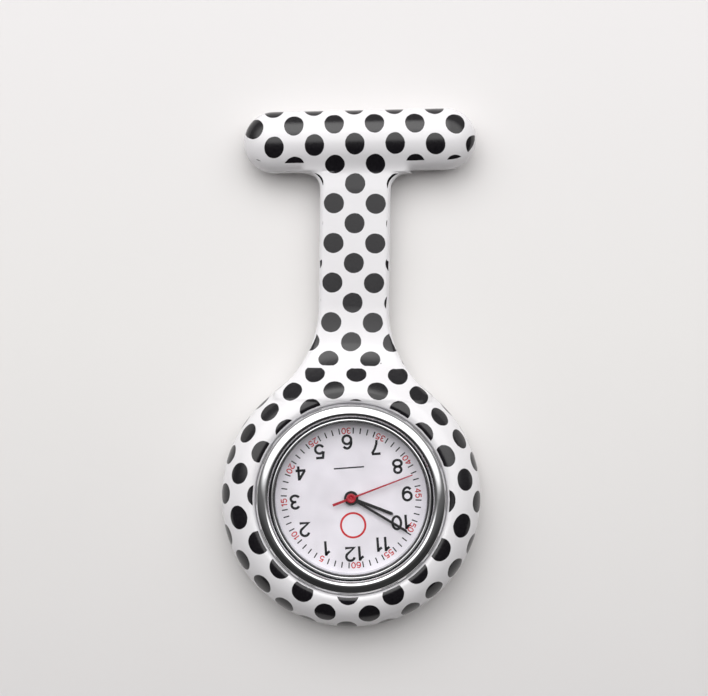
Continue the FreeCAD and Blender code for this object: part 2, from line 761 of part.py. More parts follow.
def make_case_back():
    """The snap-on back: a disc with a ring that clicks into the case, and a knife notch."""
    outer = case_bore - s.running_gap
    edge = case_back_radius
    bevel = s.case_back_thickness / 2
    body = turned("case_back", [
        (0, back_seat),
        (edge - bevel, back_seat),
        (edge, back_seat + bevel),
        (edge, case_foot),
        (outer, case_foot),
        (outer, case_foot + s.case_back_spigot),
        (outer - s.spigot_wall, case_foot + s.case_back_spigot),
        (outer - s.spigot_wall, case_foot),
        (0, case_foot),
    ])
    notch = box_corners(-1.5, 1.5, edge - bevel, edge + 1)
    pocket(body, outline(body, "XY_Plane", notch, case_foot - bevel / 2), bevel / 2)
    return place_in_module(body)


def make_case_back_gasket():
    inner = gasket_inner + 0.02
    outer = gasket_inner + s.back_gasket_width - 0.02
    top = case_foot + s.back_gasket_depth - 0.02
    return turned("case_back_gasket", [
        (inner, case_foot),
        (outer, case_foot),
        (outer, top),
        (inner, top),
    ])


# ---- Dial and hands


def make_dial():
    """The dial, with two feet that drop into the movement's holder."""
    body = new_body("dial")
    pad(body, circles(body, "XY_Plane", [(0, 0, dial_radius)], dial_seat), s.dial_thickness)
    feet = [(x, y, s.dial_foot_radius) for x, y in foot_places]
    for foot in feet:
        start = dial_seat - s.dial_foot_length
        pad(body, circles(body, "XY_Plane", [foot], start), s.dial_foot_length)
    pocket(body, circles(body, "XY_Plane", [(0, 0, s.dial_bore)], dial_seat - 1), 2)
    return place_in_module(body)


def make_baton_hand(label, length, width, bore, level, angle):
    """A pointed baton on a round boss. It is made pointing at 12."""
    body = new_body(label)
    thickness = s.hand_thickness
    side = width / 2
    tip = width * 0.6
    blade = [(-side, 0), (side, 0), (side, length - tip), (0, length), (-side, length - tip)]
    pad(body, outline(body, "XY_Plane", blade, level), thickness)
    pad(body, circles(body, "XY_Plane", [(0, 0, s.hand_boss)], level), thickness)
    pocket(body, circles(body, "XY_Plane", [(0, 0, bore)], level - 1), 2)
    return place_in_module(body, turn=-angle.value)


def make_hour_hand():
    return make_baton_hand("hour_hand", s.hour_length, s.hour_width,
                             s.hour_pipe + s.press_gap, hour_level, s.hour_angle)


def make_minute_hand():
    return make_baton_hand("minute_hand", s.minute_length, s.minute_width,
                             s.cannon_radius + s.press_gap, minute_level, s.minute_angle)


def make_second_hand():
    """A needle with a wider tail, on a hub with a dimple that closes it at the front."""
    body = new_body("second_hand")
    side = s.second_width / 2
    tail = s.second_tail_width / 2
    blade = [
        (-tail, -s.second_tail),
        (tail, -s.second_tail),
        (tail, 0),
        (side, 0),
        (side * 0.6, s.second_length),
        (-side * 0.6, s.second_length),
        (-side, 0),
        (-tail, 0),
    ]
    level = second_level
    pad(body, outline(body, "XY_Plane", blade, level), s.second_thickness)
    pad(body, circles(body, "XY_Plane", [(0, 0, s.second_hub)], level), s.second_hub_height)
    dimple = circles(body, "XY_Plane", [(0, 0, 0.3)], level + s.second_hub_height - 0.08)
    pocket(body, dimple, 1)
    post = circles(body, "XY_Plane", [(0, 0, s.fourth_post + s.press_gap)], level - 1)
    pocket(body, post, 1.1)
    return place_in_module(body, turn=-s.second_angle.value)


# ---- Wheels of the movement


def add_teeth(body, teeth, module, level, length):
    """A toothed disc: the root circle, one tooth, and the pattern of it."""
    pitch = as_size(teeth * module / 2)
    outer = pitch + module * 0.95
    inner = pitch - module * 1.15
    tooth = math.pi * module * 0.46
    pad(body, circles(body, "XY_Plane", [(0, 0, inner)], level), length)
    corners = [
        (inner - module * 0.3, -tooth * 0.6),
        (pitch, -tooth * 0.5),
        (outer, -tooth * 0.2),
        (outer, tooth * 0.2),
        (pitch, tooth * 0.5),
        (inner - module * 0.3, tooth * 0.6),
    ]
    first = pad(body, outline(body, "XY_Plane", corners, level), length)
    repeat(body, first, teeth)


def mesh_turn(direction, teeth, turn, next_teeth):
    """The turn that puts the next wheel's gap on this wheel's tooth, along the line of centres."""
    past = ((direction - turn) * teeth / 360) % 1
    return direction + 180 + (past + 0.5) * 360 / next_teeth


def make_wheel(name, level, arbor_foot, arbor_top, at, turn):
    """A wheel with its pinion one level up and the arbor that carries both."""
    teeth, module, pinion_teeth, pinion_module = WHEELS[name]
    body = new_body(f"{name}_wheel")
    arbor = circles(body, "XY_Plane", [(0, 0, s.arbor_radius)], arbor_foot)
    pad(body, arbor, arbor_top - arbor_foot)
    add_teeth(body, teeth, module, level, s.wheel_thickness)
    pinion_level = level + s.level_step - s.pinion_length / 4
    add_teeth(body, pinion_teeth, pinion_module, pinion_level, s.pinion_length)
    collar = circles(body, "XY_Plane", [(0, 0, s.arbor_radius + 0.08)], level)
    pad(body, collar, pinion_level - level)
    return place_in_module(body, *at, turn=turn)


def make_going_train():
    """Rotor, fifth, fourth and third wheel, each in mesh with the next, and the centre wheel."""
    foot = movement_foot + s.pivot_gap
    top = plate_foot + s.pivot_gap * 5
    rotor_turn = 0.0
    fifth_turn = mesh_turn(s.rotor_direction.value + 180, ROTOR_TEETH, rotor_turn, WHEELS["fifth"][0])
    fourth_turn = mesh_turn(s.fifth_direction.value + 180, WHEELS["fifth"][2], fifth_turn,
                            WHEELS["fourth"][0])
    third_turn = mesh_turn(s.third_direction.value, WHEELS["fourth"][2], fourth_turn,
                           WHEELS["third"][0])
    center_turn = mesh_turn(s.third_direction.value + 180, WHEELS["third"][2], third_turn,
                            WHEELS["center"][0])
    make_rotor(foot, top, rotor_turn)
    make_wheel("fifth", train_level(0), foot, top, fifth_place, fifth_turn)
    fourth_top = second_level + s.second_thickness
    fourth = make_wheel("fourth", train_level(1), foot, fourth_top, (0, 0), fourth_turn)
    thicken_fourth_post(fourth, fourth_top)
    make_wheel("third", train_level(2), foot, top, third_place, third_turn)
    make_center_wheel(center_turn)


def thicken_fourth_post(body, top):
    """The long post that runs through the cannon pinion and carries the second hand."""
    start = train_level(3) - s.running_gap
    pad(body, circles(body, "XY_Plane", [(0, 0, s.fourth_post)], start), top - start)


def make_rotor(foot, top, turn):
    body = new_body("step_rotor")
    pad(body, circles(body, "XY_Plane", [(0, 0, s.arbor_radius - 0.02)], foot), top - foot)
    level = train_level(0) - s.pinion_length / 4
    add_teeth(body, ROTOR_TEETH, ROTOR_MODULE, level, s.pinion_length)
    magnet = circles(body, "XY_Plane", [(0, 0, s.magnet_radius)], plate_foot - s.magnet_length - 0.1)
    pad(body, magnet, s.magnet_length)
    return place_in_module(body, *rotor_place, turn=turn)


def make_center_wheel(turn):
    """The wheel that drives the minute hand, pushed on the cannon pinion's pipe."""
    teeth, module, _, _ = WHEELS["center"]
    body = new_body("center_wheel")
    add_teeth(body, teeth, module, train_level(3), s.wheel_thickness)
    bore = circles(body, "XY_Plane", [(0, 0, s.cannon_radius + s.press_gap)], train_level(3) - 1)
    pocket(body, bore, 2)
    return place_in_module(body, turn=turn)


def make_motion_works():
    """Cannon pinion, minute wheel and hour wheel, which sit under the dial."""
    low = recess_floor + s.running_gap
    high = low + s.wheel_thickness + s.running_gap
    minute_turn = mesh_turn(s.motion_direction.value, WHEELS["center"][2], 0.0, WHEELS["minute"][0])
    hour_turn = mesh_turn(s.motion_direction.value + 180, WHEELS["minute"][2], minute_turn,
                          WHEELS["hour"][0])
    make_cannon_pinion(low)
    make_minute_wheel(low, high, minute_turn)
    make_hour_wheel(high, hour_turn)


def make_cannon_pinion(low):
    body = new_body("cannon_pinion")
    foot = train_level(3) - s.running_gap / 2
    top = minute_level + s.hand_thickness
    pad(body, circles(body, "XY_Plane", [(0, 0, s.cannon_radius)], foot), top - foot)
    _, _, teeth, module = WHEELS["center"]
    add_teeth(body, teeth, module, low, s.wheel_thickness)
    bore = circles(body, "XY_Plane", [(0, 0, s.fourth_post + s.running_gap)], foot - 1)
    pocket(body, bore, top - foot + 2)
    return place_in_module(body)


def make_minute_wheel(low, high, turn):
    teeth, module, pinion_teeth, pinion_module = WHEELS["minute"]
    body = new_body("minute_wheel")
    add_teeth(body, teeth, module, low, s.wheel_thickness)
    add_teeth(body, pinion_teeth, pinion_module, low + s.wheel_thickness / 2,
              high - low + s.wheel_thickness / 2)
    bore = circles(body, "XY_Plane", [(0, 0, s.arbor_radius * 2 + s.pivot_gap)], low - 1)
    pocket(body, bore, 2)
    return place_in_module(body, *minute_place, turn=turn)


def make_hour_wheel(high, turn):
    teeth, module, _, _ = WHEELS["hour"]
    body = new_body("hour_wheel")
    add_teeth(body, teeth, module, high, s.wheel_thickness)
    top = hour_level + s.hand_thickness
    pad(body, circles(body, "XY_Plane", [(0, 0, s.hour_pipe)], high), top - high)
    bore = circles(body, "XY_Plane", [(0, 0, s.cannon_radius + s.running_gap)], high - 1)
    pocket(body, bore, top - high + 2)
    return place_in_module(body, turn=turn)


# ---- Plates and holder of the movement


def pivot_holes():
    """The holes that both plates share: (x, y, radius)."""
    hole = s.arbor_radius + s.pivot_gap
    return [(*at, hole) for at in (third_place, fifth_place, rotor_place)]


def screw_holes():
    return [(x, y, s.screw_radius + s.pivot_gap) for x, y in screw_places]


def make_main_plate():
    body = new_body("main_plate")
    across, along = s.movement_width / 2, s.movement_length / 2
    depth = dial_seat - plate_foot
    pad(body, outline(body, "XY_Plane", box_corners(-across, across, -along, along), plate_foot), depth)
    hour_round = as_size(WHEELS["hour"][0] * WHEELS["hour"][1] / 2 + 0.25)
    minute_round = as_size(WHEELS["minute"][0] * WHEELS["minute"][1] / 2 + 0.25)
    pocket(body, circles(body, "XY_Plane", [(0, 0, hour_round)], recess_floor), s.recess_depth)
    pocket(body, circles(body, "XY_Plane", [(*minute_place, minute_round)], recess_floor),
           s.recess_depth)
    post = circles(body, "XY_Plane", [(*minute_place, s.arbor_radius * 2)], recess_floor - 0.1)
    pad(body, post, s.recess_depth)
    through = [
        (0, 0, s.cannon_radius + s.running_gap),
        (*battery_place, s.battery_radius + s.holder_gap),
        (*lever_pivot, s.lever_pin + s.pivot_gap),
        (*yoke_pivot, s.lever_pin + s.pivot_gap),
    ]
    for round_hole in through + pivot_holes() + screw_holes():
        pocket(body, circles(body, "XY_Plane", [round_hole], plate_foot - 1), depth + 2)
    coil_room = box_corners(-s.coil_length / 2 - 0.2, s.coil_length / 2 + 0.2,
                            s.coil_place - s.coil_radius - 0.1, s.coil_place + s.coil_radius + 0.1)
    pocket(body, outline(body, "XY_Plane", coil_room, plate_foot - 1), depth + 2)
    return place_in_module(body)


def make_train_bridge():
    body = new_body("train_bridge")
    across, along = s.movement_width / 2 - 0.2, s.movement_length / 2 - 0.2
    corners = box_corners(-across, across, -s.bridge_edge, along)
    pad(body, outline(body, "XY_Plane", corners, movement_foot), s.bridge_thickness)
    around_cell = [(*battery_place, s.battery_radius + s.holder_gap)]
    pocket(body, circles(body, "XY_Plane", around_cell, movement_foot - 1), 3)
    for round_hole in [(0, 0, s.arbor_radius + s.pivot_gap)] + pivot_holes() + screw_holes():
        pocket(body, circles(body, "XY_Plane", [round_hole], movement_foot - 1), 3)
    return place_in_module(body)


def make_movement_holder():
    """The plastic ring that centres the movement in the case."""
    body = new_body("movement_holder")
    outer = case_bore - s.holder_gap
    foot = case_foot + s.holder_foot
    height = dial_seat - foot
    pad(body, circles(body, "XY_Plane", [(0, 0, outer)], foot), height)
    across = s.movement_width / 2 + s.holder_gap
    along = s.movement_length / 2 + s.holder_gap
    room = outline(body, "XY_Plane", box_corners(-across, across, -along, along), foot - 1)
    pocket(body, room, height + 2)
    channel = circles(body, "YZ_Plane", [(0, stem_level, s.crown_boss + s.holder_gap)], 0)
    pocket(body, channel, outer + 1)
    for x, y in foot_places:
        hole = [(x, y, s.dial_foot_radius + s.running_gap)]
        pocket(body, circles(body, "XY_Plane", hole, dial_seat - s.dial_foot_length - 0.1), 2)
    return place_in_module(body)


def make_movement_screws():
    """Four equal screws that clamp the bridge to the main plate."""
    solids = []
    for x, y in screw_places:
        head = doc.addObject("Part::Cylinder", "screw_head")
        head.setExpression("Radius", s.screw_head.text)
        head.setExpression("Height", s.screw_head_height.text)
        place_in_module(head, x, y, movement_foot - s.screw_head_height)
        shank = doc.addObject("Part::Cylinder", "screw_shank")
        shank.setExpression("Radius", s.screw_radius.text)
        shank.setExpression("Height", (plate_foot - movement_foot + 0.6).text)
        place_in_module(shank, x, y, movement_foot)
        screw = doc.addObject("Part::Fuse", "screw")
        screw.Base = head
        screw.Tool = shank
        solids.append(screw)
    group = doc.addObject("Part::Compound", "screws")
    group.Links = solids
    return keep(group, "movement_screws")


# ---- Motor, circuit and cell


def make_stator():
    """The plate that leads the coil's field round the rotor."""
    body = new_body("stator")
    leg_inner, leg_outer = s.coil_length / 2 + 0.3, s.coil_length / 2 + 1.6
    low = rotor_place[1] - s.magnet_radius - s.stator_gap - 0.25
    bar_top = s.coil_place - s.coil_radius - 1.0
    leg_top = s.coil_place + s.coil_radius
    foot = plate_foot - s.stator_thickness - 0.1
    corners = [
        (-leg_outer, low),
        (leg_outer, low),
        (leg_outer, leg_top),
        (leg_inner, leg_top),
        (leg_inner, bar_top),
        (-leg_inner, bar_top),
        (-leg_inner, leg_top),
        (-leg_outer, leg_top),
    ]
    pad(body, outline(body, "XY_Plane", corners, foot), s.stator_thickness)
    hole = [(*rotor_place, s.magnet_radius + s.stator_gap)]
    pocket(body, circles(body, "XY_Plane", hole, foot - 1), 3)
    return place_in_module(body)


def make_coil_core():
    body = new_body("coil_core")
    reach = s.coil_length / 2 + 1.6
    half = s.core_width / 2
    foot = plate_foot - s.stator_thickness - 0.1 - s.core_thickness
    corners = box_corners(-reach, reach, s.coil_place - half, s.coil_place + half)
    pad(body, outline(body, "XY_Plane", corners, foot), s.core_thickness)
    return place_in_module(body)


def make_coil_winding():
    """The winding, open inside for the core."""
    body = new_body("coil_winding")
    middle = plate_foot - s.stator_thickness - 0.1 - s.core_thickness / 2
    start = -s.coil_length / 2
    wound = circles(body, "YZ_Plane", [(s.coil_place, middle, s.coil_radius)], start)
    pad(body, wound, s.coil_length)
    half, height = s.core_width / 2, s.core_thickness / 2
    core = box_corners(s.coil_place - half, s.coil_place + half, middle - height, middle + height)
    pocket(body, outline(body, "YZ_Plane", core, start - 1), s.coil_length + 2)
    return place_in_module(body)


def board_foot():
    return movement_foot + s.bridge_thickness


def make_circuit_board():
    body = new_body("circuit_board")
    right = s.movement_width / 2 - 0.3
    low = -s.movement_length / 2 + 0.3
    corners = box_corners(0.9, right, low, -s.yoke_arm - 1)
    pad(body, outline(body, "XY_Plane", corners, board_foot()), s.board_thickness)
    return place_in_module(body)


def make_circuit_chip():
    box = doc.addObject("Part::Box", "chip")
    box.setExpression("Length", s.chip_side.text)
    box.setExpression("Width", s.chip_side.text)
    box.setExpression("Height", s.chip_height.text)
    place_in_module(box, 1.6, -5.6, board_foot() + s.board_thickness)
    return keep(box, "circuit_chip")


def make_crystal_can():
    """The can of the timing crystal, lying along the board."""
    body = new_body("quartz_crystal_can")
    level = board_foot() + s.board_thickness + s.can_radius
    end = circles(body, "YZ_Plane", [(-s.movement_length / 2 + 1.5, level, s.can_radius)], 1.6)
    pad(body, end, s.can_length)
    return place_in_module(body)


def make_battery_cell():
    """A button cell: the cup, and the smaller cap that faces the main plate."""
    cup = s.battery_height - 0.3
    body = turned("battery_cell", [
        (0, 0),
        (s.battery_radius - 0.15, 0),
        (s.battery_radius, 0.15),
        (s.battery_radius, cup),
        (s.battery_radius - 0.6, cup),
        (s.battery_radius - 0.6, s.battery_height),
        (0, s.battery_height),
    ])
    return place_in_module(body, *battery_place, movement_foot)


def make_battery_clamp():
    """The strap across the cell's cup, which is its positive contact."""
    body = new_body("battery_clamp")
    x, y = battery_place
    foot = movement_foot - s.contact_thickness
    corners = box_corners(x - 1, x + 1, y - s.battery_radius, -s.bridge_edge + 1)
    pad(body, outline(body, "XY_Plane", corners, foot), s.contact_thickness)
    return place_in_module(body)


def make_battery_spring():
    """The leaf on the cell's cap, which is its negative contact."""
    body = new_body("battery_spring")
    x, y = battery_place
    foot = movement_foot + s.battery_height
    corners = box_corners(x - 0.6, x + 0.6, y - 2.2, y + 2.2)
    pad(body, outline(body, "XY_Plane", corners, foot), s.contact_thickness)
    return place_in_module(body)


# ---- Crown and setting works


def crown_start():
    return case_radius + s.crown_gap


def boss_end():
    return case_bore + s.crown_gap * 2


def make_setting_stem():
    """The stem, with the neck that the setting lever holds."""
    half_neck = s.stem_neck
    body = turned("setting_stem", [
        (s.stem_start, 0),
        (s.stem_start, s.stem_radius),
        (s.lever_place - half_neck, s.stem_radius),
        (s.lever_place - half_neck, s.stem_neck),
        (s.lever_place + half_neck, s.stem_neck),
        (s.lever_place + half_neck, s.stem_radius),
        (boss_end(), s.stem_radius),
        (boss_end(), 0),
    ], "H_Axis")
    return place_in_module(body, height=stem_level)


def make_crown():
    """The crown: a boss in the case's bore and a notched head."""
    end = crown_start() + s.crown_length
    body = turned("crown", [
        (boss_end(), 0),
        (boss_end(), s.crown_boss),
        (crown_start(), s.crown_boss),
        (crown_start(), s.crown_radius),
        (end - 0.3, s.crown_radius),
        (end, s.crown_radius - 0.5),
        (end, 0),
    ], "H_Axis")
    notch = circles(body, "YZ_Plane", [(s.crown_radius + 0.08, 0, 0.2)], crown_start() + 0.2)
    cut = pocket(body, notch, s.crown_length + 1)
    repeat(body, cut, CROWN_NOTCHES, "X_Axis")
    return place_in_module(body, height=stem_level)


def make_crown_gasket():
    middle = (boss_end() + crown_start()) / 2
    inner = s.crown_boss + s.press_gap
    outer = s.crown_tube - s.press_gap
    body = turned("crown_gasket", [
        (middle - 0.25, inner),
        (middle + 0.25, inner),
        (middle + 0.25, outer),
        (middle - 0.25, outer),
    ], "H_Axis")
    return place_in_module(body, height=stem_level)


def make_sliding_pinion():
    """The pinion that slides on the stem, with the groove that the yoke holds."""
    bore = s.stem_radius + s.running_gap / 2
    start = s.yoke_place - s.clutch_length / 2
    end = s.yoke_place + s.clutch_length / 2
    neck = (bore + s.clutch_radius) / 2
    body = turned("sliding_pinion", [
        (start, bore),
        (end, bore),
        (end, s.clutch_radius),
        (s.yoke_place + 0.2, s.clutch_radius),
        (s.yoke_place + 0.2, neck),
        (s.yoke_place - 0.2, neck),
        (s.yoke_place - 0.2, s.clutch_radius),
        (start, s.clutch_radius),
    ], "H_Axis")
    return place_in_module(body, height=stem_level)


def make_rocker(label, pivot, reach, side, half_width):
    """A flat lever on a pin, with its nose towards the stem. side is 1 where that is +Y."""
    body = new_body(label)
    level = stem_level - s.lever_thickness / 2
    ends = sorted([as_size(0), side * reach], key=lambda end: end.value)
    corners = box_corners(-half_width, half_width, *ends)
    pad(body, outline(body, "XY_Plane", corners, level), s.lever_thickness)
    pad(body, circles(body, "XY_Plane", [(0, 0, s.lever_pin * 2)], level), s.lever_thickness)
    top = plate_foot + 0.5
    pad(body, circles(body, "XY_Plane", [(0, 0, s.lever_pin)], level), top - level)
    return place_in_module(body, *pivot)


def make_setting_lever():
    reach = s.lever_arm - s.stem_neck - s.running_gap
    return make_rocker("setting_lever", lever_pivot, reach, -1, s.stem_neck - 0.05)


def make_yoke():
    reach = s.yoke_arm - s.clutch_radius + s.running_gap
    return make_rocker("yoke", yoke_pivot, reach, 1, as_size(0.15))


# ---- Build, check and write


def make_all():
    make_holder_ring()
    make_holder_strap()
    make_holder_bar()
    make_pin_base_plate()
    make_hinge_rivet()
    make_pin_needle()
    make_catch_body()
    make_catch_sleeve()
    make_watch_case()
    make_crystal()
    make_crystal_gasket()
    make_flange_ring()
    make_case_back()
    make_case_back_gasket()
    make_dial()
    make_hour_hand()
    make_minute_hand()
    make_second_hand()
    make_going_train()
    make_motion_works()
    make_main_plate()
    make_train_bridge()
    make_movement_holder()
    make_movement_screws()
    make_stator()
    make_coil_core()
    make_coil_winding()
    make_circuit_board()
    make_circuit_chip()
    make_crystal_can()
    make_battery_cell()
    make_battery_clamp()
    make_battery_spring()
    make_setting_stem()
    make_crown()
    make_crown_gasket()
    make_sliding_pinion()
    make_setting_lever()
    make_yoke()


def centre_pieces():
    """Moves every piece so that the origin is halfway along the watch."""
    halfway = (s.bar_distance + s.bar_width / 2 - ring_radius) / 2
    for piece in pieces:
        piece.Placement = Placement(Vector(0, -halfway.value, 0), Rotation()) * piece.Placement


def check_document():
    for thing in doc.Objects:
        if {"Invalid", "Error"} & set(thing.State):
            raise RuntimeError(f"{thing.Label} ({thing.Name}) failed: {thing.State}")
    for piece in pieces:
        if piece.Shape.isNull() or not piece.Shape.isValid() or not piece.Shape.Solids:
            raise RuntimeError(f"{piece.Label} has no valid solid")


def write_steps():
    os.makedirs("parts", exist_ok=True)
    for piece in pieces:
        piece.Shape.exportStep(f"parts/{piece.Label}.step")


make_all()
doc.recompute()
centre_pieces()
doc.recompute()
check_document()
write_steps()
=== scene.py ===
"""A silicone fob watch, seen from above on a pale table."""

import json
import math

import bmesh
import bpy
import numpy as np
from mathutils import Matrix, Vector


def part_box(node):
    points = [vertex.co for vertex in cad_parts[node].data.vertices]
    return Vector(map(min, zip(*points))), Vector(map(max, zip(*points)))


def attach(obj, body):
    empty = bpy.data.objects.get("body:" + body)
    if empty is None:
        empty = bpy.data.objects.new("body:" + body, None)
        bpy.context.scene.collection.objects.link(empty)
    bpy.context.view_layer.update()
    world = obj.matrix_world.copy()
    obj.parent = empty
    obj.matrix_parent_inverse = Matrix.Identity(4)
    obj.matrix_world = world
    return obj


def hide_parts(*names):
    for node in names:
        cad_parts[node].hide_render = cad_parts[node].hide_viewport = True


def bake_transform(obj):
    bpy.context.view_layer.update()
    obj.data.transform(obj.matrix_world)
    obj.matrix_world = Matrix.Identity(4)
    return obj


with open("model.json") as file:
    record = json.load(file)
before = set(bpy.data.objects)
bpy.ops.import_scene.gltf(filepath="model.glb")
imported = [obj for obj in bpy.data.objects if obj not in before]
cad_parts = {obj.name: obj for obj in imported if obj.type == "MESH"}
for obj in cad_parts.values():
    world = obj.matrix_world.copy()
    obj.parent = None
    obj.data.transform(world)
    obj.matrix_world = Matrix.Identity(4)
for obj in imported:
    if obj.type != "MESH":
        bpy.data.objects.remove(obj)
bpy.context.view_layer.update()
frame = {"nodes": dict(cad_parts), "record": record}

# Lengths below are millimetres, measured from the middle of the dial unless a name says otherwise.

MM = 0.001
dial_low, dial_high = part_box("dial")
HUB = ((dial_low[0] + dial_high[0]) / 2, (dial_low[1] + dial_high[1]) / 2)
DIAL_FACE = dial_high[2] / MM
TURN = math.radians(185)  # the watch hangs upside down, a little askew


def row(x, y, z):
    """A place in metres in the row frame."""
    return (x * MM + HUB[0], y * MM + HUB[1], z * MM)


def mesh_object(name, points, faces, smooth=True):
    """A mesh from points in millimetres round the dial's middle."""
    mesh = bpy.data.meshes.new(name)
    points = np.asarray(points, dtype=float) * MM
    points[:, 0] += HUB[0]
    points[:, 1] += HUB[1]
    mesh.from_pydata(points.tolist(), [], [list(map(int, f)) for f in faces])
    mesh.update()
    mesh.polygons.foreach_set("use_smooth", [smooth] * len(mesh.polygons))
    piece = bpy.data.objects.new(name, mesh)
    bpy.context.scene.collection.objects.link(piece)
    return piece


# ---- Materials


class Nodes:
    """Short ways to add shader nodes to one material."""

    def __init__(self, name):
        self.material = bpy.data.materials.new(name)
        self.material.use_nodes = True
        self.tree = self.material.node_tree
        self.tree.nodes.clear()
        self.out = self.add("ShaderNodeOutputMaterial")

    def add(self, kind, **settings):
        node = self.tree.nodes.new(kind)
        for name, value in settings.items():
            setattr(node, name, value)
        return node

    def join(self, source, target):
        self.tree.links.new(source, target)

    def put(self, socket, value):
        if isinstance(value, bpy.types.NodeSocket):
            self.join(value, socket)
        elif value is not None:
            socket.default_value = value

    def math(self, kind, a, b=None, c=None):
        node = self.add("ShaderNodeMath", operation=kind)
        for socket, value in zip(node.inputs, (a, b, c)):
            self.put(socket, value)
        return node.outputs[0]

    def spread(self, value, low, high, to_low=0.0, to_high=1.0):
        node = self.add("ShaderNodeMapRange")
        for index, item in enumerate((value, low, high, to_low, to_high)):
            self.put(node.inputs[index], item)
        return node.outputs[0]

    def place(self):
        return self.add("ShaderNodeTexCoord").outputs["Object"]

    def noise(self, scale, detail=3.0, where=None, roughness=0.5):
        node = self.add("ShaderNodeTexNoise")
        self.join(where or self.place(), node.inputs["Vector"])
        node.inputs["Scale"].default_value = scale
        node.inputs["Detail"].default_value = detail
        node.inputs["Roughness"].default_value = roughness
        return node.outputs["Fac"]

    def mix(self, share, a, b):
        node = self.add("ShaderNodeMix", data_type="RGBA")
        self.put(node.inputs[0], share)
        self.put(node.inputs[6], a)
        self.put(node.inputs[7], b)
        return node.outputs[2]

    def bump(self, height, strength, distance=0.0001):
        node = self.add("ShaderNodeBump")
        node.inputs["Strength"].default_value = strength
        node.inputs["Distance"].default_value = distance
        self.join(height, node.inputs["Height"])
        return node.outputs["Normal"]

    def principled(self, **sockets):
        shader = self.add("ShaderNodeBsdfPrincipled")
        for name, value in sockets.items():
            self.put(shader.inputs[name.replace("_", " ")], value)
        self.join(shader.outputs[0], self.out.inputs["Surface"])
        return shader


def tone(red, green, blue):
    return (red, green, blue, 1.0)


def metal(name, colour, roughness, grain=900.0, streak=None, bump=0.06):
    """A metal with uneven polish. streak stretches the grain along an axis, as brushing does."""
    n = Nodes(name)
    where = n.place()
    if streak:
        mapping = n.add("ShaderNodeMapping")
        mapping.inputs["Scale"].default_value = streak
        n.join(where, mapping.inputs["Vector"])
        where = mapping.outputs[0]
    fine = n.noise(grain, 4.0, where)
    broad = n.noise(120.0, 2.0)
    darker = tone(*[c * 0.86 for c in colour])
    n.principled(
        Base_Color=n.mix(n.spread(broad, 0.35, 0.65), tone(*colour), darker),
        Metallic=1.0,
        Roughness=n.spread(fine, 0.3, 0.7, roughness * 0.75, roughness * 1.3),
        Normal=n.bump(fine, bump),
    )
    return n.material


def turned_metal(name, colour, roughness):
    """Steel with rings of fine turning marks about the dial's middle."""
    n = Nodes(name)
    split = n.add("ShaderNodeSeparateXYZ")
    n.join(n.place(), split.inputs[0])
    across = n.math("SUBTRACT", split.outputs[0], HUB[0])
    along = n.math("SUBTRACT", split.outputs[1], HUB[1])
    squares = n.math("ADD", n.math("MULTIPLY", across, across), n.math("MULTIPLY", along, along))
    radius = n.math("SQRT", squares)
    join = n.add("ShaderNodeCombineXYZ")
    n.join(radius, join.inputs[0])
    rings = n.noise(6500.0, 3.0, join.outputs[0])
    broad = n.noise(150.0, 2.0)
    darker = tone(*[c * 0.85 for c in colour])
    n.principled(
        Base_Color=n.mix(n.spread(broad, 0.3, 0.7), tone(*colour), darker),
        Metallic=1.0,
        Roughness=n.spread(rings, 0.3, 0.7, roughness * 0.8, roughness * 1.4),
        Normal=n.bump(rings, 0.12, 0.00005),
    )
    return n.material


def plastic(name, colour, roughness, grain=1500.0, coat=0.0, bump=0.08):
    """A moulded or painted surface with faint mottling."""
    n = Nodes(name)
    fine = n.noise(grain, 4.0)
    broad = n.noise(200.0, 2.0)
    darker = tone(*[c * 0.88 for c in colour])
    n.principled(
        Base_Color=n.mix(n.spread(broad, 0.35, 0.65), tone(*colour), darker),
        Roughness=n.spread(fine, 0.3, 0.7, roughness * 0.85, min(1.0, roughness * 1.2)),
        Coat_Weight=coat,
        Normal=n.bump(fine, bump),
    )
    return n.material


def clear_glass(name):
    """Thin clear mineral glass: it lets the dial through and mirrors a little."""
    n = Nodes(name)
    smear = n.noise(260.0, 2.0)
    glossy = n.add("ShaderNodeBsdfGlossy")
    n.put(glossy.inputs["Roughness"], n.spread(smear, 0.3, 0.7, 0.02, 0.05))
    clear = n.add("ShaderNodeBsdfTransparent")
    clear.inputs[0].default_value = tone(0.985, 0.985, 0.99)
    fresnel = n.add("ShaderNodeFresnel")
    fresnel.inputs["IOR"].default_value = 1.2
    front = n.math("SUBTRACT", 1.0, n.add("ShaderNodeNewGeometry").outputs["Backfacing"])
    mix = n.add("ShaderNodeMixShader")
    n.join(n.math("MULTIPLY", fresnel.outputs[0], front), mix.inputs[0])
    n.join(clear.outputs[0], mix.inputs[1])
    n.join(glossy.outputs[0], mix.inputs[2])
    n.join(mix.outputs[0], n.out.inputs["Surface"])
    return n.material


DOT_ACROSS = 3.534  # half the spacing of the printed spots, across and along
DOT_ALONG = 3.356
DOT_RADIUS = 1.71


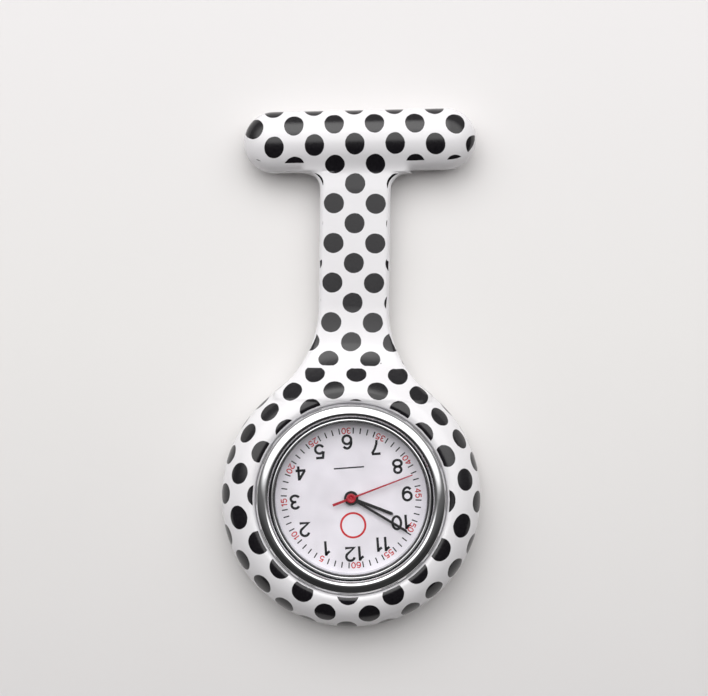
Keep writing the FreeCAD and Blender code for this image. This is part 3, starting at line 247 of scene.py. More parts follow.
def printed_silicone():
    """Glossy white silicone with printed black spots, where the print attribute puts them."""
    n = Nodes("printed_silicone")
    split = n.add("ShaderNodeSeparateXYZ")
    attribute = n.add("ShaderNodeAttribute", attribute_name="print")
    n.join(attribute.outputs["Vector"], split.inputs[0])
    across, along, inside = split.outputs

    def to_nearest(shift_across, shift_along):
        du = n.math("WRAP", n.math("SUBTRACT", across, shift_across), DOT_ACROSS, -DOT_ACROSS)
        dv = n.math("WRAP", n.math("SUBTRACT", along, shift_along), DOT_ALONG, -DOT_ALONG)
        return n.math("SQRT", n.math("ADD", n.math("MULTIPLY", du, du), n.math("MULTIPLY", dv, dv)))

    nearest = n.math("MINIMUM", to_nearest(0.0, 0.0), to_nearest(DOT_ACROSS, DOT_ALONG))
    wobble = n.spread(n.noise(900.0, 2.0), 0.0, 1.0, -0.07, 0.07)
    edge = n.math("SUBTRACT", n.math("ADD", DOT_RADIUS, wobble), nearest)
    spot = n.spread(edge, -0.03, 0.03)
    film = n.spread(n.math("ADD", inside, wobble), -0.02, 0.02)
    spot = n.math("MULTIPLY", spot, film)
    specks = n.add("ShaderNodeTexVoronoi")
    n.join(n.place(), specks.inputs["Vector"])
    specks.inputs["Scale"].default_value = 130.0
    speck = n.spread(specks.outputs["Distance"], 0.012, 0.02, 1.0, 0.0)
    speck = n.math("MULTIPLY", n.math("MULTIPLY", speck, film), 0.7)
    ink = n.math("MAXIMUM", spot, speck)
    fine = n.noise(2600.0, 4.0)
    broad = n.noise(90.0, 2.0)
    white = n.mix(n.spread(broad, 0.3, 0.7), tone(0.82, 0.81, 0.83), tone(0.80, 0.785, 0.805))
    black = n.mix(n.spread(fine, 0.35, 0.7), tone(0.006, 0.005, 0.007), tone(0.012, 0.011, 0.013))
    n.principled(
        Base_Color=n.mix(ink, white, black),
        Roughness=n.spread(fine, 0.25, 0.75, 0.13, 0.22),
        Normal=n.bump(fine, 0.045),
    )
    return n.material


# ---- The silicone holder, as one surface


def smooth_min(a, b, width):
    gap = np.clip(width - np.abs(a - b), 0, None)
    return np.minimum(a, b) - gap * gap / (4 * width)


def smooth_max(a, b, width):
    return -smooth_min(-a, -b, width)


def smooth_step(value, start, end):
    t = np.clip((value - start) / (end - start), 0, 1)
    return t * t * (3 - 2 * t)


RING_CURVE = 6.0  # the ring's front is a quarter round of this radius
CURVE_CENTRE = (16.0, 4.2)
STRAP_SIDE = 6.0
NECK_RADIUS = 18.0
NECK_TOP = 32.0
STRAP_TOP = 52.15
BAR_FILLET = 3.0
BAR_CENTRE = (0.68, 60.5)
BAR_TILT = math.radians(2.0)  # soft as it is, the bar lies a little askew on the strap
BAR_END = 14.55
BAR_HALF = 5.4
STEM_HEIGHT = 4.95
BEZEL_SHOULDER = 9.8  # height at which the bezel starts to round over


def arc_points(cx, cy, radius, start, end, steps=24):
    angles = np.radians(np.linspace(start, end, steps))
    return [(cx + radius * math.cos(a), cy + radius * math.sin(a)) for a in angles]


def ring_section():
    """The ring's section: (radius, height), once round."""
    lean = math.degrees(math.acos(1.0 / RING_CURVE))
    return (
        arc_points(12.3, 0.3, 0.3, 180, 270, 5)
        + arc_points(20.4, 1.6, 1.6, 270, 360, 12)
        + arc_points(*CURVE_CENTRE, RING_CURVE, 0, lean, 40)
        + arc_points(17.0, 9.17, 0.946, 90, 180, 14)
        + [(16.054, 8.7), (14.95, 8.7), (14.95, 7.2), (15.6, 7.2), (15.6, 1.3)]
        + arc_points(12.3, 1.0, 0.3, 90, 180, 5)
    )


def polygon_distance(px, py, corners):
    """Signed distance to a closed polygon, negative inside."""
    best = np.full(px.shape, 1e9)
    inside = np.zeros(px.shape, dtype=bool)
    for (ax, ay), (bx, by) in zip(corners, corners[1:] + corners[:1]):
        ex, ey = bx - ax, by - ay
        length = ex * ex + ey * ey
        if length < 1e-12:
            continue
        t = np.clip(((px - ax) * ex + (py - ay) * ey) / length, 0, 1)
        best = np.minimum(best, (px - ax - t * ex) ** 2 + (py - ay - t * ey) ** 2)
        crosses = (ay > py) != (by > py)
        with np.errstate(divide="ignore", invalid="ignore"):
            inside ^= crosses & (px < (bx - ax) * (py - ay) / (by - ay) + ax)
    distance = np.sqrt(best)
    return np.where(inside, -distance, distance)


TABLE_STEP = 0.05
TABLE_R = np.arange(9.0, 30.0, TABLE_STEP)
TABLE_Z = np.arange(-3.0, 14.0, TABLE_STEP)
RING_TABLE = polygon_distance(*np.meshgrid(TABLE_R, TABLE_Z, indexing="ij"), ring_section())


def ring_field(x, y, z):
    r = np.clip((np.hypot(x, y) - TABLE_R[0]) / TABLE_STEP, 0, len(TABLE_R) - 2.001)
    h = np.clip((z - TABLE_Z[0]) / TABLE_STEP, 0, len(TABLE_Z) - 2.001)
    i, j = r.astype(int), h.astype(int)
    fr, fh = r - i, h - j
    low = RING_TABLE[i, j] * (1 - fr) + RING_TABLE[i + 1, j] * fr
    high = RING_TABLE[i, j + 1] * (1 - fr) + RING_TABLE[i + 1, j + 1] * fr
    beyond = np.clip(np.hypot(x, y) - TABLE_R[-3], 0, None)
    return low * (1 - fh) + high * fh + beyond


def plate_half_width(y):
    """Half the width of neck and strap at a distance up from the dial's middle."""
    down = np.clip(NECK_TOP - y, 0, 14.4)
    neck = STRAP_SIDE + NECK_RADIUS - np.sqrt(NECK_RADIUS**2 - down**2)
    up = np.clip(y - STRAP_TOP, 0, BAR_FILLET * 0.999)
    return neck + BAR_FILLET - np.sqrt(BAR_FILLET**2 - up**2)


def strap_climb(y):
    return 0.7 * np.clip((y - NECK_TOP) / (STRAP_TOP - NECK_TOP), 0, 1)


RAMP_SLOPE = 0.68
RAMP_START = 25.5
RAMP_SOFT = 1.2
CREST = 10.05


def plate_front(x, y):
    """Height of the front of neck and strap."""
    reach = (RAMP_START - np.hypot(x, np.clip(y, 0, None))) / RAMP_SOFT
    ramp = RAMP_SLOPE * RAMP_SOFT * np.logaddexp(0, reach)
    return smooth_min(5.0 + strap_climb(y) + ramp, CREST, 0.35)


def plate_field(x, y, z):
    step = 0.05
    width = plate_half_width(y)
    lean = (plate_half_width(y + step) - width) / step
    side = (np.abs(x) - width) / np.sqrt(1 + lean * lean)
    front = plate_front(x, y)
    slope = (plate_front(x, y + step) - front) / step
    over = (z - front) / np.sqrt(1 + slope * slope)
    under = 1.8 + strap_climb(y) - z
    height = np.maximum(over, under)
    edge = 0.9
    a, b = side + edge, height + edge
    body = np.hypot(np.clip(a, 0, None), np.clip(b, 0, None)) + np.minimum(np.maximum(a, b), 0)
    body = body - edge
    return np.maximum(body, np.maximum(16.6 - y, y - 57.5))


def bar_place(x, y):
    """Place along and across the bar, from its middle."""
    dx, dy = x - BAR_CENTRE[0], y - BAR_CENTRE[1]
    c, s = math.cos(BAR_TILT), math.sin(BAR_TILT)
    return dx * c + dy * s, dy * c - dx * s


DOME_RADIUS = 6.5
BAR_CREST = 7.4


def bar_field(x, y, z):
    along, across = bar_place(x, y)
    reach = np.hypot(np.clip(np.abs(along) - BAR_END, 0, None), across)
    dome = np.hypot(reach, z - (BAR_CREST - DOME_RADIUS)) - DOME_RADIUS
    wall = reach - BAR_HALF
    return smooth_max(smooth_max(dome, wall, 1.3), 3.2 - z, 0.7)


def holder_field(x, y, z):
    field = smooth_min(ring_field(x, y, z), plate_field(x, y, z), 0.5)
    field = smooth_min(field, bar_field(x, y, z), 1.1)
    along = x * math.cos(TURN) + y * math.sin(TURN)
    across = y * math.cos(TURN) - x * math.sin(TURN)
    pocket = np.maximum(np.hypot(across, z - STEM_HEIGHT) - 2.6, np.abs(along - 16.45) - 2.5)
    return np.maximum(field, -pocket)


def gradient(field, points, step=0.02):
    x, y, z = points.T
    gx = field(x + step, y, z) - field(x - step, y, z)
    gy = field(x, y + step, z) - field(x, y - step, z)
    gz = field(x, y, z + step) - field(x, y, z - step)
    return np.stack([gx, gy, gz], axis=1) / (2 * step)


def surface_net(field, low, high, step):
    """Points and quads on the field's zero surface."""
    axes = [np.arange(a, b + step, step) for a, b in zip(low, high)]
    value = field(*np.meshgrid(*axes, indexing="ij"))
    inside = value < 0
    shape = tuple(n - 1 for n in value.shape)
    total = np.zeros(shape + (3,))
    count = np.zeros(shape)
    edges = []
    for axis in range(3):
        first = [slice(None)] * 3
        second = [slice(None)] * 3
        first[axis] = slice(None, -1)
        second[axis] = slice(1, None)
        a, b = value[tuple(first)], value[tuple(second)]
        crosses = (a < 0) != (b < 0)
        t = np.where(crosses, a / np.where(crosses, a - b, 1), 0)
        edges.append(crosses)
        others = [k for k in range(3) if k != axis]
        for s0 in (0, 1):
            for s1 in (0, 1):
                pick = [slice(None)] * 3
                pick[others[0]] = slice(s0, shape[others[0]] + s0)
                pick[others[1]] = slice(s1, shape[others[1]] + s1)
                hit = crosses[tuple(pick)]
                count += hit
                total[..., axis] += hit * t[tuple(pick)]
                total[..., others[0]] += hit * s0
                total[..., others[1]] += hit * s1
    cells = np.argwhere(count > 0)
    number = -np.ones(shape, dtype=int)
    number[tuple(cells.T)] = np.arange(len(cells))
    middle = total[tuple(cells.T)] / count[tuple(cells.T)][:, None]
    points = np.array(low) + (cells + middle) * step
    quads = []
    for axis in range(3):
        others = [k for k in range(3) if k != axis]
        places = np.argwhere(edges[axis])
        keep = np.all([(places[:, k] > 0) & (places[:, k] < shape[k]) for k in others], axis=0)
        places = places[keep]
        ring = []
        for s0, s1 in ((1, 1), (0, 1), (0, 0), (1, 0)):
            cell = places.copy()
            cell[:, others[0]] -= s0
            cell[:, others[1]] -= s1
            ring.append(number[tuple(cell.T)])
        faces = np.stack(ring, axis=1)
        outward = inside[tuple(places.T)]
        flip = outward if axis != 1 else ~outward
        faces = np.where(flip[:, None], faces, faces[:, ::-1])
        quads.append(faces)
    return points, np.concatenate(quads)


FILM_SHRINK = 1.13  # length on the ring to length on the film
FILM_SLIP_Y = 22.05  # where the ring's print meets the strap's
RING_FILM = 7.25  # film length along the ring's quarter round, for each radian
DOME_FILM = 0.92  # film length to dome length
BAR_SHRINK = 0.962


def print_place(points):
    """Where each point lies on the printed film: across, along, and how far inside its edge."""
    x, y, z = points.T
    # Round the ring the film follows the quarter round outwards from the bezel.
    r = np.hypot(x, y) + 1e-9
    lean = np.arctan2(r - CURVE_CENTRE[0], np.clip(z - CURVE_CENTRE[1], 1e-6, None))
    reach = CURVE_CENTRE[0] + RING_FILM * np.clip(lean, -0.5, math.pi / 2)
    reach += np.clip(CURVE_CENTRE[1] - z, 0, None)
    low, high = smooth_step(-y / r, -0.2, 0.3), smooth_step(y / r, -0.4, 0.6)
    reach += low * (0.7 - 0.65 * lean)
    pull = FILM_SHRINK + 0.1 * low - 0.015 * high
    squeeze = FILM_SHRINK - 0.06 * smooth_step(y / r, 0.1, 0.95)
    skew = math.radians(1.3)
    cu, cv = x / r * reach / squeeze, y / r * reach / pull
    ring_u = cu * math.cos(skew) - cv * math.sin(skew) - 0.15 * high
    ring_v = cu * math.sin(skew) + cv * math.cos(skew) - 0.5 * np.clip(x / r, 0, 1) * high
    ring_v += 0.5 * smooth_step(y, 21.0, 22.1)
    ring_edge = np.minimum(r - 16.45, z - 4.9)
    # Up the neck and the strap it stretches over the slope, and it has slipped a little sideways.
    strap_u = x + 0.05 + 0.25 * np.clip((42 - y) / 15, 0, 1) + 0.35 * smooth_step(-y, -27.5, -22.5)
    strap_v = y - 0.33 + 0.95 * np.tanh((y - 22.0) / 2.24)
    strap_edge = np.minimum(plate_half_width(y) - 0.55 - np.abs(x), z - plate_front(x, y) + 1.0)
    # On the bar it lies over the dome.
    along, across = bar_place(x, y)
    bar_u = (along + 0.9) / BAR_SHRINK
    bar_v = 61.15 + DOME_RADIUS * DOME_FILM * np.arcsin(np.clip(across / DOME_RADIUS, -0.99, 0.99))
    bar_v += 0.0016 * along * along
    cap = np.clip(np.abs(along) - BAR_END, 0, None)
    span = np.hypot(cap, across) + 1e-9
    up, down = np.clip(across / span, 0, 1), np.clip(-across / span, 0, 1)
    bar_edge = 4.95 + 0.3 * up - 1.2 * down**1.5 - span
    bar_edge = np.minimum(bar_edge, z - 3.6)
    # The three run into one another.
    to_strap = smooth_step(y, FILM_SLIP_Y - 0.15, FILM_SLIP_Y + 0.15)
    u = ring_u + (strap_u - ring_u) * to_strap
    v = ring_v + (strap_v - ring_v) * to_strap
    to_bar = smooth_step(y, 54.2, 57.4)
    u += (bar_u - u) * to_bar
    v += (bar_v - v) * to_bar
    edge = np.where(y < 40, np.maximum(ring_edge, np.where(y > 17, strap_edge, -9)), strap_edge)
    edge = np.where(y > 50, np.maximum(edge, bar_edge), edge)
    edge = np.minimum(edge, np.abs(y - FILM_SLIP_Y) - 0.2)  # nothing is printed across the slip
    return np.stack([u, v, edge], axis=1)


def make_holder():
    points, quads = surface_net(holder_field, (-22.6, -22.6, -0.6), (22.6, 66.8, 10.9), 0.3)
    for _ in range(4):
        slope = gradient(holder_field, points)
        size = np.sum(slope * slope, axis=1) + 1e-9
        move = (holder_field(*points.T) / size)[:, None] * slope
        points = points - np.clip(move, -0.12, 0.12)
    holder = mesh_object("silicone_holder", points, quads)
    attribute = holder.data.attributes.new("print", "FLOAT_VECTOR", "POINT")
    attribute.data.foreach_set("vector", print_place(points).astype(np.float32).ravel())
    holder.data.materials.append(printed_silicone())
    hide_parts("holder_ring", "holder_strap", "holder_bar")
    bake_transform(holder)
    return holder


# ---- Dial printing


def ellipse(cx, cy, rx, ry, start, end, steps=18):
    angles = np.radians(np.linspace(start, end, steps))
    return [(cx + rx * math.cos(a), cy + ry * math.sin(a)) for a in angles]


def digit_strokes():
    """Middle lines of plain sans-serif figures, one unit high. A closed line ends where it starts."""
    six = [
        ellipse(0, -0.15, 0.285, 0.285, 0, 360, 28),
        ellipse(0.02, 0.0, 0.305, 0.435, 42, 186, 18),
    ]
    return {
        "0": [ellipse(0, 0, 0.29, 0.435, 0, 360, 32)],
        "1": [[(0.07, -0.5), (0.07, 0.48)], [(0.09, 0.45), (-0.03, 0.3), (-0.19, 0.2)]],
        "2": [ellipse(0, 0.16, 0.28, 0.275, 168, -38) + [(-0.29, -0.435), (0.32, -0.435)]],
        "3": [
            ellipse(0, 0.215, 0.25, 0.22, 160, -90) + [(-0.08, -0.005)],
            ellipse(0, -0.215, 0.285, 0.22, 90, -160),
        ],
        "4": [
            [(0.13, -0.5), (0.13, 0.46)],
            [(0.13, 0.43), (-0.3, -0.2)],
            [(-0.34, -0.2), (0.33, -0.2)],
        ],
        "5": [
            [(0.27, 0.435), (-0.2, 0.435), (-0.27, 0.0)],
            ellipse(0, -0.15, 0.285, 0.285, 148, -155),
        ],
        "6": six,
        "7": [
            [(-0.31, 0.435), (0.29, 0.435)],
            [(0.27, 0.41), (0.07, 0.1), (-0.06, -0.22), (-0.1, -0.5)],
        ],
        "8": [
            ellipse(0, 0.22, 0.24, 0.215, 0, 360, 26),
            ellipse(0, -0.215, 0.285, 0.22, 0, 360, 28),
        ],
        "9": [[(-a, -b) for a, b in stroke] for stroke in six],
    }


DIGITS = digit_strokes()


class Print:
    """Flat inked shapes on the dial, gathered into one mesh. In its own frame, 12 is upwards."""

    def __init__(self):
        self.points = []
        self.faces = []

    def stroke(self, line, width):
        """A band of even width along a line of points."""
        line = [np.array(p, dtype=float) for p in line]
        closed = np.linalg.norm(line[0] - line[-1]) < 1e-6
        if closed:
            line = line[:-1]
        count = len(line)
        start = len(self.points)
        for k in range(count):
            before = line[k - 1] if (closed or k > 0) else line[k]
            after = line[(k + 1) % count] if (closed or k < count - 1) else line[k]
            ahead, behind = after - line[k], line[k] - before
            if not closed and k == 0:
                behind = ahead
            if not closed and k == count - 1:
                ahead = behind
            ahead, behind = ahead / np.linalg.norm(ahead), behind / np.linalg.norm(behind)
            along = ahead + behind
            along = along / max(np.linalg.norm(along), 1e-6)
            normal = np.array([-along[1], along[0]])
            cut = max(0.55, abs(normal @ np.array([-ahead[1], ahead[0]])))
            self.points += [line[k] + normal * width / 2 / cut, line[k] - normal * width / 2 / cut]
        for k in range(count if closed else count - 1):
            a, b = start + 2 * k, start + 2 * ((k + 1) % count)
            self.faces.append((a, a + 1, b + 1, b))

    def number(self, text, centre, height, width, turn=0.0, spacing=0.86):
        """A number about its centre, turned by so many radians."""
        starts = [(k - (len(text) - 1) / 2) * spacing for k in range(len(text))]
        if text == "11":
            starts = [-0.26, 0.26]
        elif len(text) == 2 and text[0] == "1":
            starts = [-0.36, 0.34]
        c, s = math.cos(turn), math.sin(turn)
        for figure, start in zip(text, starts):
            for line in DIGITS[figure]:
                placed = []
                for px, py in line:
                    qx, qy = (px + start) * height, py * height
                    placed.append((centre[0] + qx * c - qy * s, centre[1] + qx * s + qy * c))
                self.stroke(placed, width)

    def finish(self, name, material, lift=0.012):
        flat = np.array(self.points)
        c, s = math.cos(TURN), math.sin(TURN)
        x, y = flat[:, 0] * c - flat[:, 1] * s, flat[:, 0] * s + flat[:, 1] * c
        points = np.stack([x, y, np.full(len(x), DIAL_FACE + lift)], axis=1)
        piece = mesh_object(name, points, self.faces, smooth=False)
        bm = bmesh.new()
        bm.from_mesh(piece.data)
        bmesh.ops.recalc_face_normals(bm, faces=bm.faces)
        for face in bm.faces:
            if face.normal.z < 0:
                face.normal_flip()
        bm.to_mesh(piece.data)
        bm.free()
        piece.data.materials.append(material)
        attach(piece, "watch_head")
        return piece


def polar(radius, clock_degrees):
    """A place on the dial by its direction, clockwise from 12."""
    a = math.radians(90 - clock_degrees)
    return (radius * math.cos(a), radius * math.sin(a))


def make_dial_print():
    black = plastic("black_ink", (0.006, 0.006, 0.008), 0.6, 3000.0, bump=0.05)
    red = plastic("red_ink", (0.6, 0.022, 0.03), 0.6, 3000.0, bump=0.05)
    hours = Print()
    for hour in range(1, 13):
        hours.number(str(hour), polar(9.45, 30 * hour), 2.48, 0.42)
    hours.finish("hour_figures", black)
    track = Print()
    for minute in range(60):
        if minute % 5:
            track.stroke([polar(10.85, 6 * minute), polar(11.85, 6 * minute)], 0.2)
    track.stroke([(-2.55, -5.1), (2.55, -5.1)], 0.24)
    track.finish("minute_track", black)
    fives = Print()
    for minute in range(5, 65, 5):
        turn = -math.radians(6 * minute)
        if 20 <= minute <= 40:
            turn += math.pi
        fives.number(str(minute), polar(11.33, 6 * minute), 1.04, 0.17, turn, spacing=0.84)
    fives.stroke(ellipse(0, 4.6, 2.05, 2.05, 0, 360, 64), 0.34)
    fives.finish("minute_figures", red)


# ---- The rest of the watch


def lathe(name, section, segments=192):
    """A body of revolution from a closed section (radius, height)."""
    count = len(section)
    points, faces = [], []
    for k in range(segments):
        a = 2 * math.pi * k / segments
        points += [(r * math.cos(a), r * math.sin(a), z) for r, z in section]
    for k in range(segments):
        here, there = k * count, (k + 1) % segments * count
        for m in range(count):
            n = (m + 1) % count
            faces.append((here + m, there + m, there + n, here + n))
    return mesh_object(name, points, faces)


def cut_hole(piece, centre, direction, radius, length):
    """Cuts a round hole along a direction in the watch's plane."""
    bm = bmesh.new()
    aim = Vector(direction).to_track_quat("Z", "Y").to_matrix().to_4x4()
    aim.translation = Vector(row(*centre))
    bmesh.ops.create_cone(
        bm, cap_ends=True, segments=48, radius1=radius * MM, radius2=radius * MM,
        depth=length * MM, matrix=aim,
    )
    mesh = bpy.data.meshes.new("drill")
    bm.to_mesh(mesh)
    bm.free()
    drill = bpy.data.objects.new("drill", mesh)
    bpy.context.scene.collection.objects.link(drill)
    cut = piece.modifiers.new("hole", "BOOLEAN")
    cut.operation = "DIFFERENCE"
    cut.object = drill
    bpy.context.view_layer.update()
    evaluated = piece.evaluated_get(bpy.context.evaluated_depsgraph_get())
    result = bpy.data.meshes.new_from_object(evaluated)
    piece.modifiers.clear()
    piece.data = result
    bpy.data.objects.remove(drill)


def make_case(chrome, shade):
    """The case with its half-round bezel, a groove painted dark as shade and a thin rim round the
    crystal.
    """
    section = (
        [(15.5, 2.2), (15.5, 7.17), (14.9, 7.17), (14.9, 8.8), (15.93, 8.8), (16.0, 8.87)]
        + [(14.4 + 1.6 * x / 1.2, z) for x, z in arc_points(0, BEZEL_SHOULDER, 1.2, 0, 90, 28)]
        + [(14.4 + 0.8 * x / 1.2, z) for x, z in arc_points(0, BEZEL_SHOULDER, 1.2, 92, 180, 20)]
        + [(13.6, 9.3), (13.4, 9.3), (13.4, 10.1)]
        + arc_points(13.32, 10.12, 0.08, 0, 90, 5)
        + arc_points(13.13, 10.12, 0.08, 90, 180, 5)
        + [(13.05, 8.8), (12.75, 8.8), (12.75, 8.4), (14.05, 8.4), (14.05, 2.2)]
        + [(14.4, 2.2), (14.4, 2.6), (14.9, 2.6), (14.9, 2.2)]
    )
    case = lathe("case_and_bezel", section, 256)
    out = (math.cos(TURN), math.sin(TURN), 0)
    cut_hole(case, (14.6 * out[0], 14.6 * out[1], STEM_HEIGHT), out, 1.25, 3.0)
    case.data.set_sharp_from_angle(angle=math.radians(32))
    case.data.materials.clear()
    case.data.materials.append(chrome)
    case.data.materials.append(shade)
    # The groove's walls and floor take the near-black metal: painted shade in the recess.
    for face in case.data.polygons:
        radius = math.hypot(face.center.x - HUB[0], face.center.y - HUB[1]) / MM
        face.material_index = int(13.39 < radius < 13.61 and face.center.z < 9.95 * MM)
    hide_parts("watch_case")
    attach(case, "watch_head")


def make_second_hand(red):
    """A thin needle with a wider blunt tail, on a hub that is dished in the middle."""
    low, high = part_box("second_hand")
    z0, z1 = low[2] / MM, high[2] / MM
    blade = z0 + 0.1
    far = max((Vector((x, y)) - Vector(HUB) for x in (low[0], high[0]) for y in (low[1], high[1])),
              key=lambda corner: corner.length)
    aim = math.atan2(far.y, far.x)
    outline = [(-3.3, -0.22), (-1.2, -0.2), (0, -0.16), (7, -0.12), (11.0, -0.09)]
    outline += [(11.1, 0.0)] + [(x, -y) for x, y in reversed(outline)]
    c, s = math.cos(aim), math.sin(aim)
    points, faces = [], []
    for height, inset in ((z0, 0.0), (blade - 0.03, 0.0), (blade, 0.03)):
        for x, y in outline:
            y = y - math.copysign(min(inset, abs(y) * 0.8), y)
            points.append((x * c - y * s, x * s + y * c, height))
    count = len(outline)
    for level in (0, 1):
        for k in range(count):
            m = (k + 1) % count
            a, b = level * count, (level + 1) * count
            faces.append((a + k, a + m, b + m, b + k))
    faces.append(tuple(reversed(range(count))))
    faces.append(tuple(2 * count + k for k in range(count)))
    hub = [(0.0, z0), (0.74, z0), (0.8, z0 + 0.06), (0.8, z1 - 0.07), (0.78, z1 - 0.02), (0.72, z1),
           (0.42, z1), (0.34, z1 - 0.03), (0.28, z1 - 0.1), (0.0, z1 - 0.1)]
    steps = 64
    start = len(points)
    for k in range(steps):
        angle = 2 * math.pi * k / steps
        points += [(r * math.cos(angle), r * math.sin(angle), z) for r, z in hub]
    for k in range(steps):
        here, there = start + k * len(hub), start + (k + 1) % steps * len(hub)
        for m in range(len(hub) - 1):
            faces.append((here + m, there + m, there + m + 1, here + m + 1))
    hand = mesh_object("second_needle", points, faces)
    hand.data.set_sharp_from_angle(angle=math.radians(35))
    hand.data.materials.append(red)
    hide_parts("second_hand")
    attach(hand, "seconds")


def finish_nodes():
    """Materials for the CAD pieces that stay."""
    chrome = metal("chrome_plate", (0.74, 0.74, 0.755), 0.035, 1400.0, bump=0.012)
    soft_chrome = metal("satin_rehaut", (0.7, 0.71, 0.73), 0.16, 2200.0, bump=0.05)
    back = turned_metal("turned_steel", (0.66, 0.66, 0.67), 0.24)
    wire = metal("nickel_wire", (0.72, 0.71, 0.69), 0.18, 1200.0, (1, 8, 8))
    sheet = metal("nickel_sheet", (0.7, 0.69, 0.67), 0.25, 900.0, (1, 10, 1), bump=0.1)
    steel = metal("steel", (0.6, 0.6, 0.62), 0.25, 1500.0)
    brass = metal("brass", (0.78, 0.58, 0.25), 0.28, 1500.0)
    plate = metal("nickel_plate", (0.68, 0.66, 0.6), 0.35, 1800.0)
    iron = metal("soft_iron", (0.42, 0.42, 0.44), 0.4, 1800.0)
    copper = metal("copper_wire", (0.72, 0.33, 0.16), 0.3, 2500.0, (1, 12, 1), bump=0.25)
    magnet = metal("magnet", (0.2, 0.2, 0.22), 0.4, 1500.0)
    materials = {
        "chrome": chrome,
        "pin_steel": wire,
        "steel": steel,
        "crystal": clear_glass("clear_glass"),
        "seal": plastic("black_rubber", (0.02, 0.02, 0.02), 0.7),
        "dial_paint": plastic("dial_paint", (0.86, 0.83, 0.875), 0.42, 2600.0, bump=0.03),
        "hand_black": plastic("black_lacquer", (0.004, 0.004, 0.005), 0.3, 1800.0, 0.0, 0.02),
        "hand_red": plastic("red_lacquer", (0.42, 0.006, 0.02), 0.3, 1800.0, 0.1, 0.02),
        "brass": brass,
        "plate": plate,
        "movement_plastic": plastic("movement_plastic", (0.07, 0.1, 0.16), 0.5),
        "magnet": magnet,
        "soft_iron": iron,
        "copper": copper,
        "board": plastic("circuit_board", (0.02, 0.11, 0.05), 0.4),
        "chip": plastic("chip_resin", (0.015, 0.015, 0.016), 0.5),
        "cell": metal("cell_steel", (0.74, 0.74, 0.72), 0.2, 1500.0),
    }
    named = {
        "case_back": back,
        "flange_ring": soft_chrome,
        "pin_base_plate": sheet,
        "catch_body": sheet,
        "catch_sleeve": wire,
        "crystal_gasket": plastic("dark_gasket", (0.03, 0.03, 0.032), 0.35, 2000.0),
    }
    slots = {s["node"]: s["material_slot"] for s in frame["record"]["subparts"]}
    for name, node in frame["nodes"].items():
        material = named.get(name, materials.get(slots.get(name), steel))
        if node.type == "MESH":
            node.data.materials.clear()
            node.data.materials.append(material)
    # The near-black metal for the case's groove is painted shade.
    make_case(chrome, metal("groove_painted_shade", (0.05, 0.05, 0.055), 0.4, 1500.0))
    make_second_hand(materials["hand_red"])


# ---- Table, light and camera


def make_stage():
    mesh = bpy.data.meshes.new("table")
    size = 1.6
    corners = [(-size, -size, 0), (size, -size, 0), (size, size, 0), (-size, size, 0)]
    mesh.from_pydata(corners, [], [(0, 1, 2, 3)])
    table = bpy.data.objects.new("table", mesh)
    table.location.z = -0.0001
    bpy.context.scene.collection.objects.link(table)
    # The table's colour is painted darker towards the ring and lighter towards the pin bar: painted
    # light falloff and shade, not the lamps' own shading.
    n = Nodes("table_painted_falloff")
    split = n.add("ShaderNodeSeparateXYZ")
    n.join(n.place(), split.inputs[0])
    faint = n.spread(n.noise(60.0, 3.0), 0.0, 1.0, -0.02, 0.02)
    up = n.math("ADD", n.spread(split.outputs[1], -0.075, 0.075), faint)
    # The darker tones at the ring's end of the table are painted shade.
    painted_falloff_shade = n.mix(n.spread(up, 0.0, 0.55), tone(0.66, 0.645, 0.645), tone(0.8, 0.785, 0.775))
    n.principled(
        Base_Color=n.mix(n.spread(up, 0.55, 1.0), painted_falloff_shade, tone(0.87, 0.85, 0.855)),
        Roughness=0.7,
    )
    mesh.materials.append(n.material)


def area_light(name, place, target, size, power, colour=(1, 1, 1)):
    light = bpy.data.lights.new(name, "AREA")
    light.shape = "RECTANGLE"
    light.size, light.size_y = size
    light.energy = power
    light.color = colour
    lamp = bpy.data.objects.new(name, light)
    lamp.location = place
    lamp.rotation_euler = (Vector(target) - Vector(place)).to_track_quat("-Z", "Y").to_euler()
    bpy.context.scene.collection.objects.link(lamp)


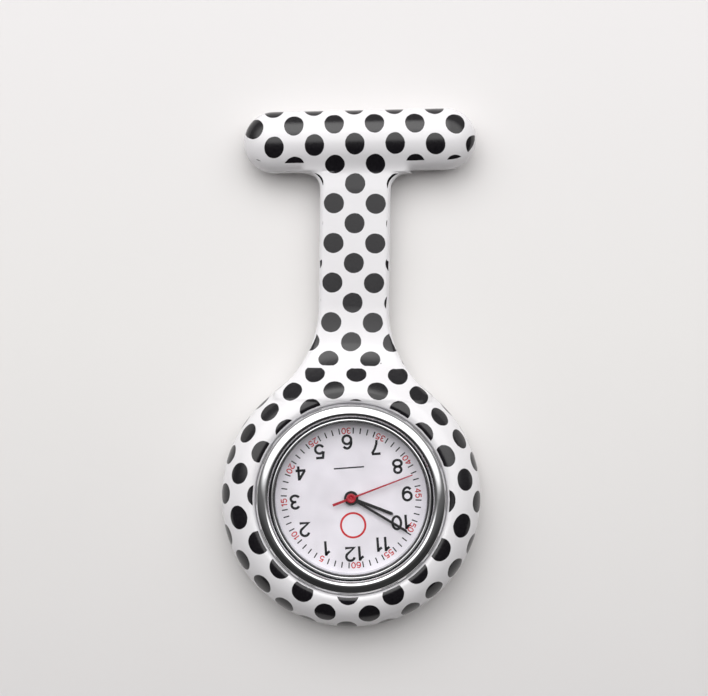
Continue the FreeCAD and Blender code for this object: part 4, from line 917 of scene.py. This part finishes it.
def make_light():
    area_light("window", (-0.2, 0.9, 0.95), (0, 0, 0), (0.9, 0.7), 2.4, (1.0, 0.995, 0.985))
    world = bpy.data.worlds.new("room")
    world.use_nodes = True
    tree = world.node_tree
    tree.nodes.clear()
    place = tree.nodes.new("ShaderNodeTexCoord").outputs["Generated"]

    def along(direction):
        node = tree.nodes.new("ShaderNodeVectorMath")
        node.operation = "DOT_PRODUCT"
        node.inputs[1].default_value = direction
        tree.links.new(place, node.inputs[0])
        return node.outputs["Value"]

    def sum_up(kind, a, b):
        node = tree.nodes.new("ShaderNodeMath")
        node.operation = kind
        for socket, value in zip(node.inputs, (a, b)):
            if isinstance(value, bpy.types.NodeSocket):
                tree.links.new(value, socket)
            else:
                socket.default_value = value
        return node.outputs[0]

    def ramp(value, *ends):
        node = tree.nodes.new("ShaderNodeMapRange")
        node.interpolation_type = "SMOOTHSTEP"
        tree.links.new(value, node.inputs[0])
        for index, end in enumerate(ends):
            node.inputs[index + 1].default_value = end
        return node.outputs[0]

    # A wide softbox overhead, tipped towards the pin bar, in a room that is dim at the other end.
    tip = math.radians(29)
    wide = sum_up("MULTIPLY", along((1.0, 0.08, 0.0)), 1 / 0.8)
    deep = sum_up("MULTIPLY", along((0.0, math.cos(tip), -math.sin(tip))), 1 / 0.5)
    reach = sum_up("ADD", sum_up("MULTIPLY", wide, wide), sum_up("MULTIPLY", deep, deep))
    above = ramp(along((0.0, math.sin(tip), math.cos(tip))), 0.0, 0.2, 0.0, 1.0)
    panel = sum_up("MULTIPLY", ramp(reach, 0.75, 1.3, 1.98, 0.0), above)
    room = ramp(along((0.0, 1.0, 0.15)), -0.35, 0.75, 0.04, 0.44)
    light = sum_up("ADD", panel, room)
    sky = tree.nodes.new("ShaderNodeBackground")
    sky.inputs["Color"].default_value = tone(1.0, 0.995, 0.99)
    out = tree.nodes.new("ShaderNodeOutputWorld")
    tree.links.new(light, sky.inputs["Strength"])
    tree.links.new(sky.outputs[0], out.inputs["Surface"])
    bpy.context.scene.world = world


def make_camera():
    camera = bpy.data.cameras.new("camera")
    camera.sensor_width = 36.0
    camera.lens = 105.0
    camera.clip_start = 0.01
    eye = bpy.data.objects.new("camera", camera)
    eye.location = row(0.14, 25.26, 355.0)
    eye.rotation_euler = (0.0, 0.0, math.radians(0.77))
    bpy.context.scene.collection.objects.link(eye)
    bpy.context.scene.camera = eye


bpy.context.scene.view_settings.view_transform = "Standard"
make_camera()
make_stage()
make_light()
finish_nodes()
make_holder()
make_dial_print()
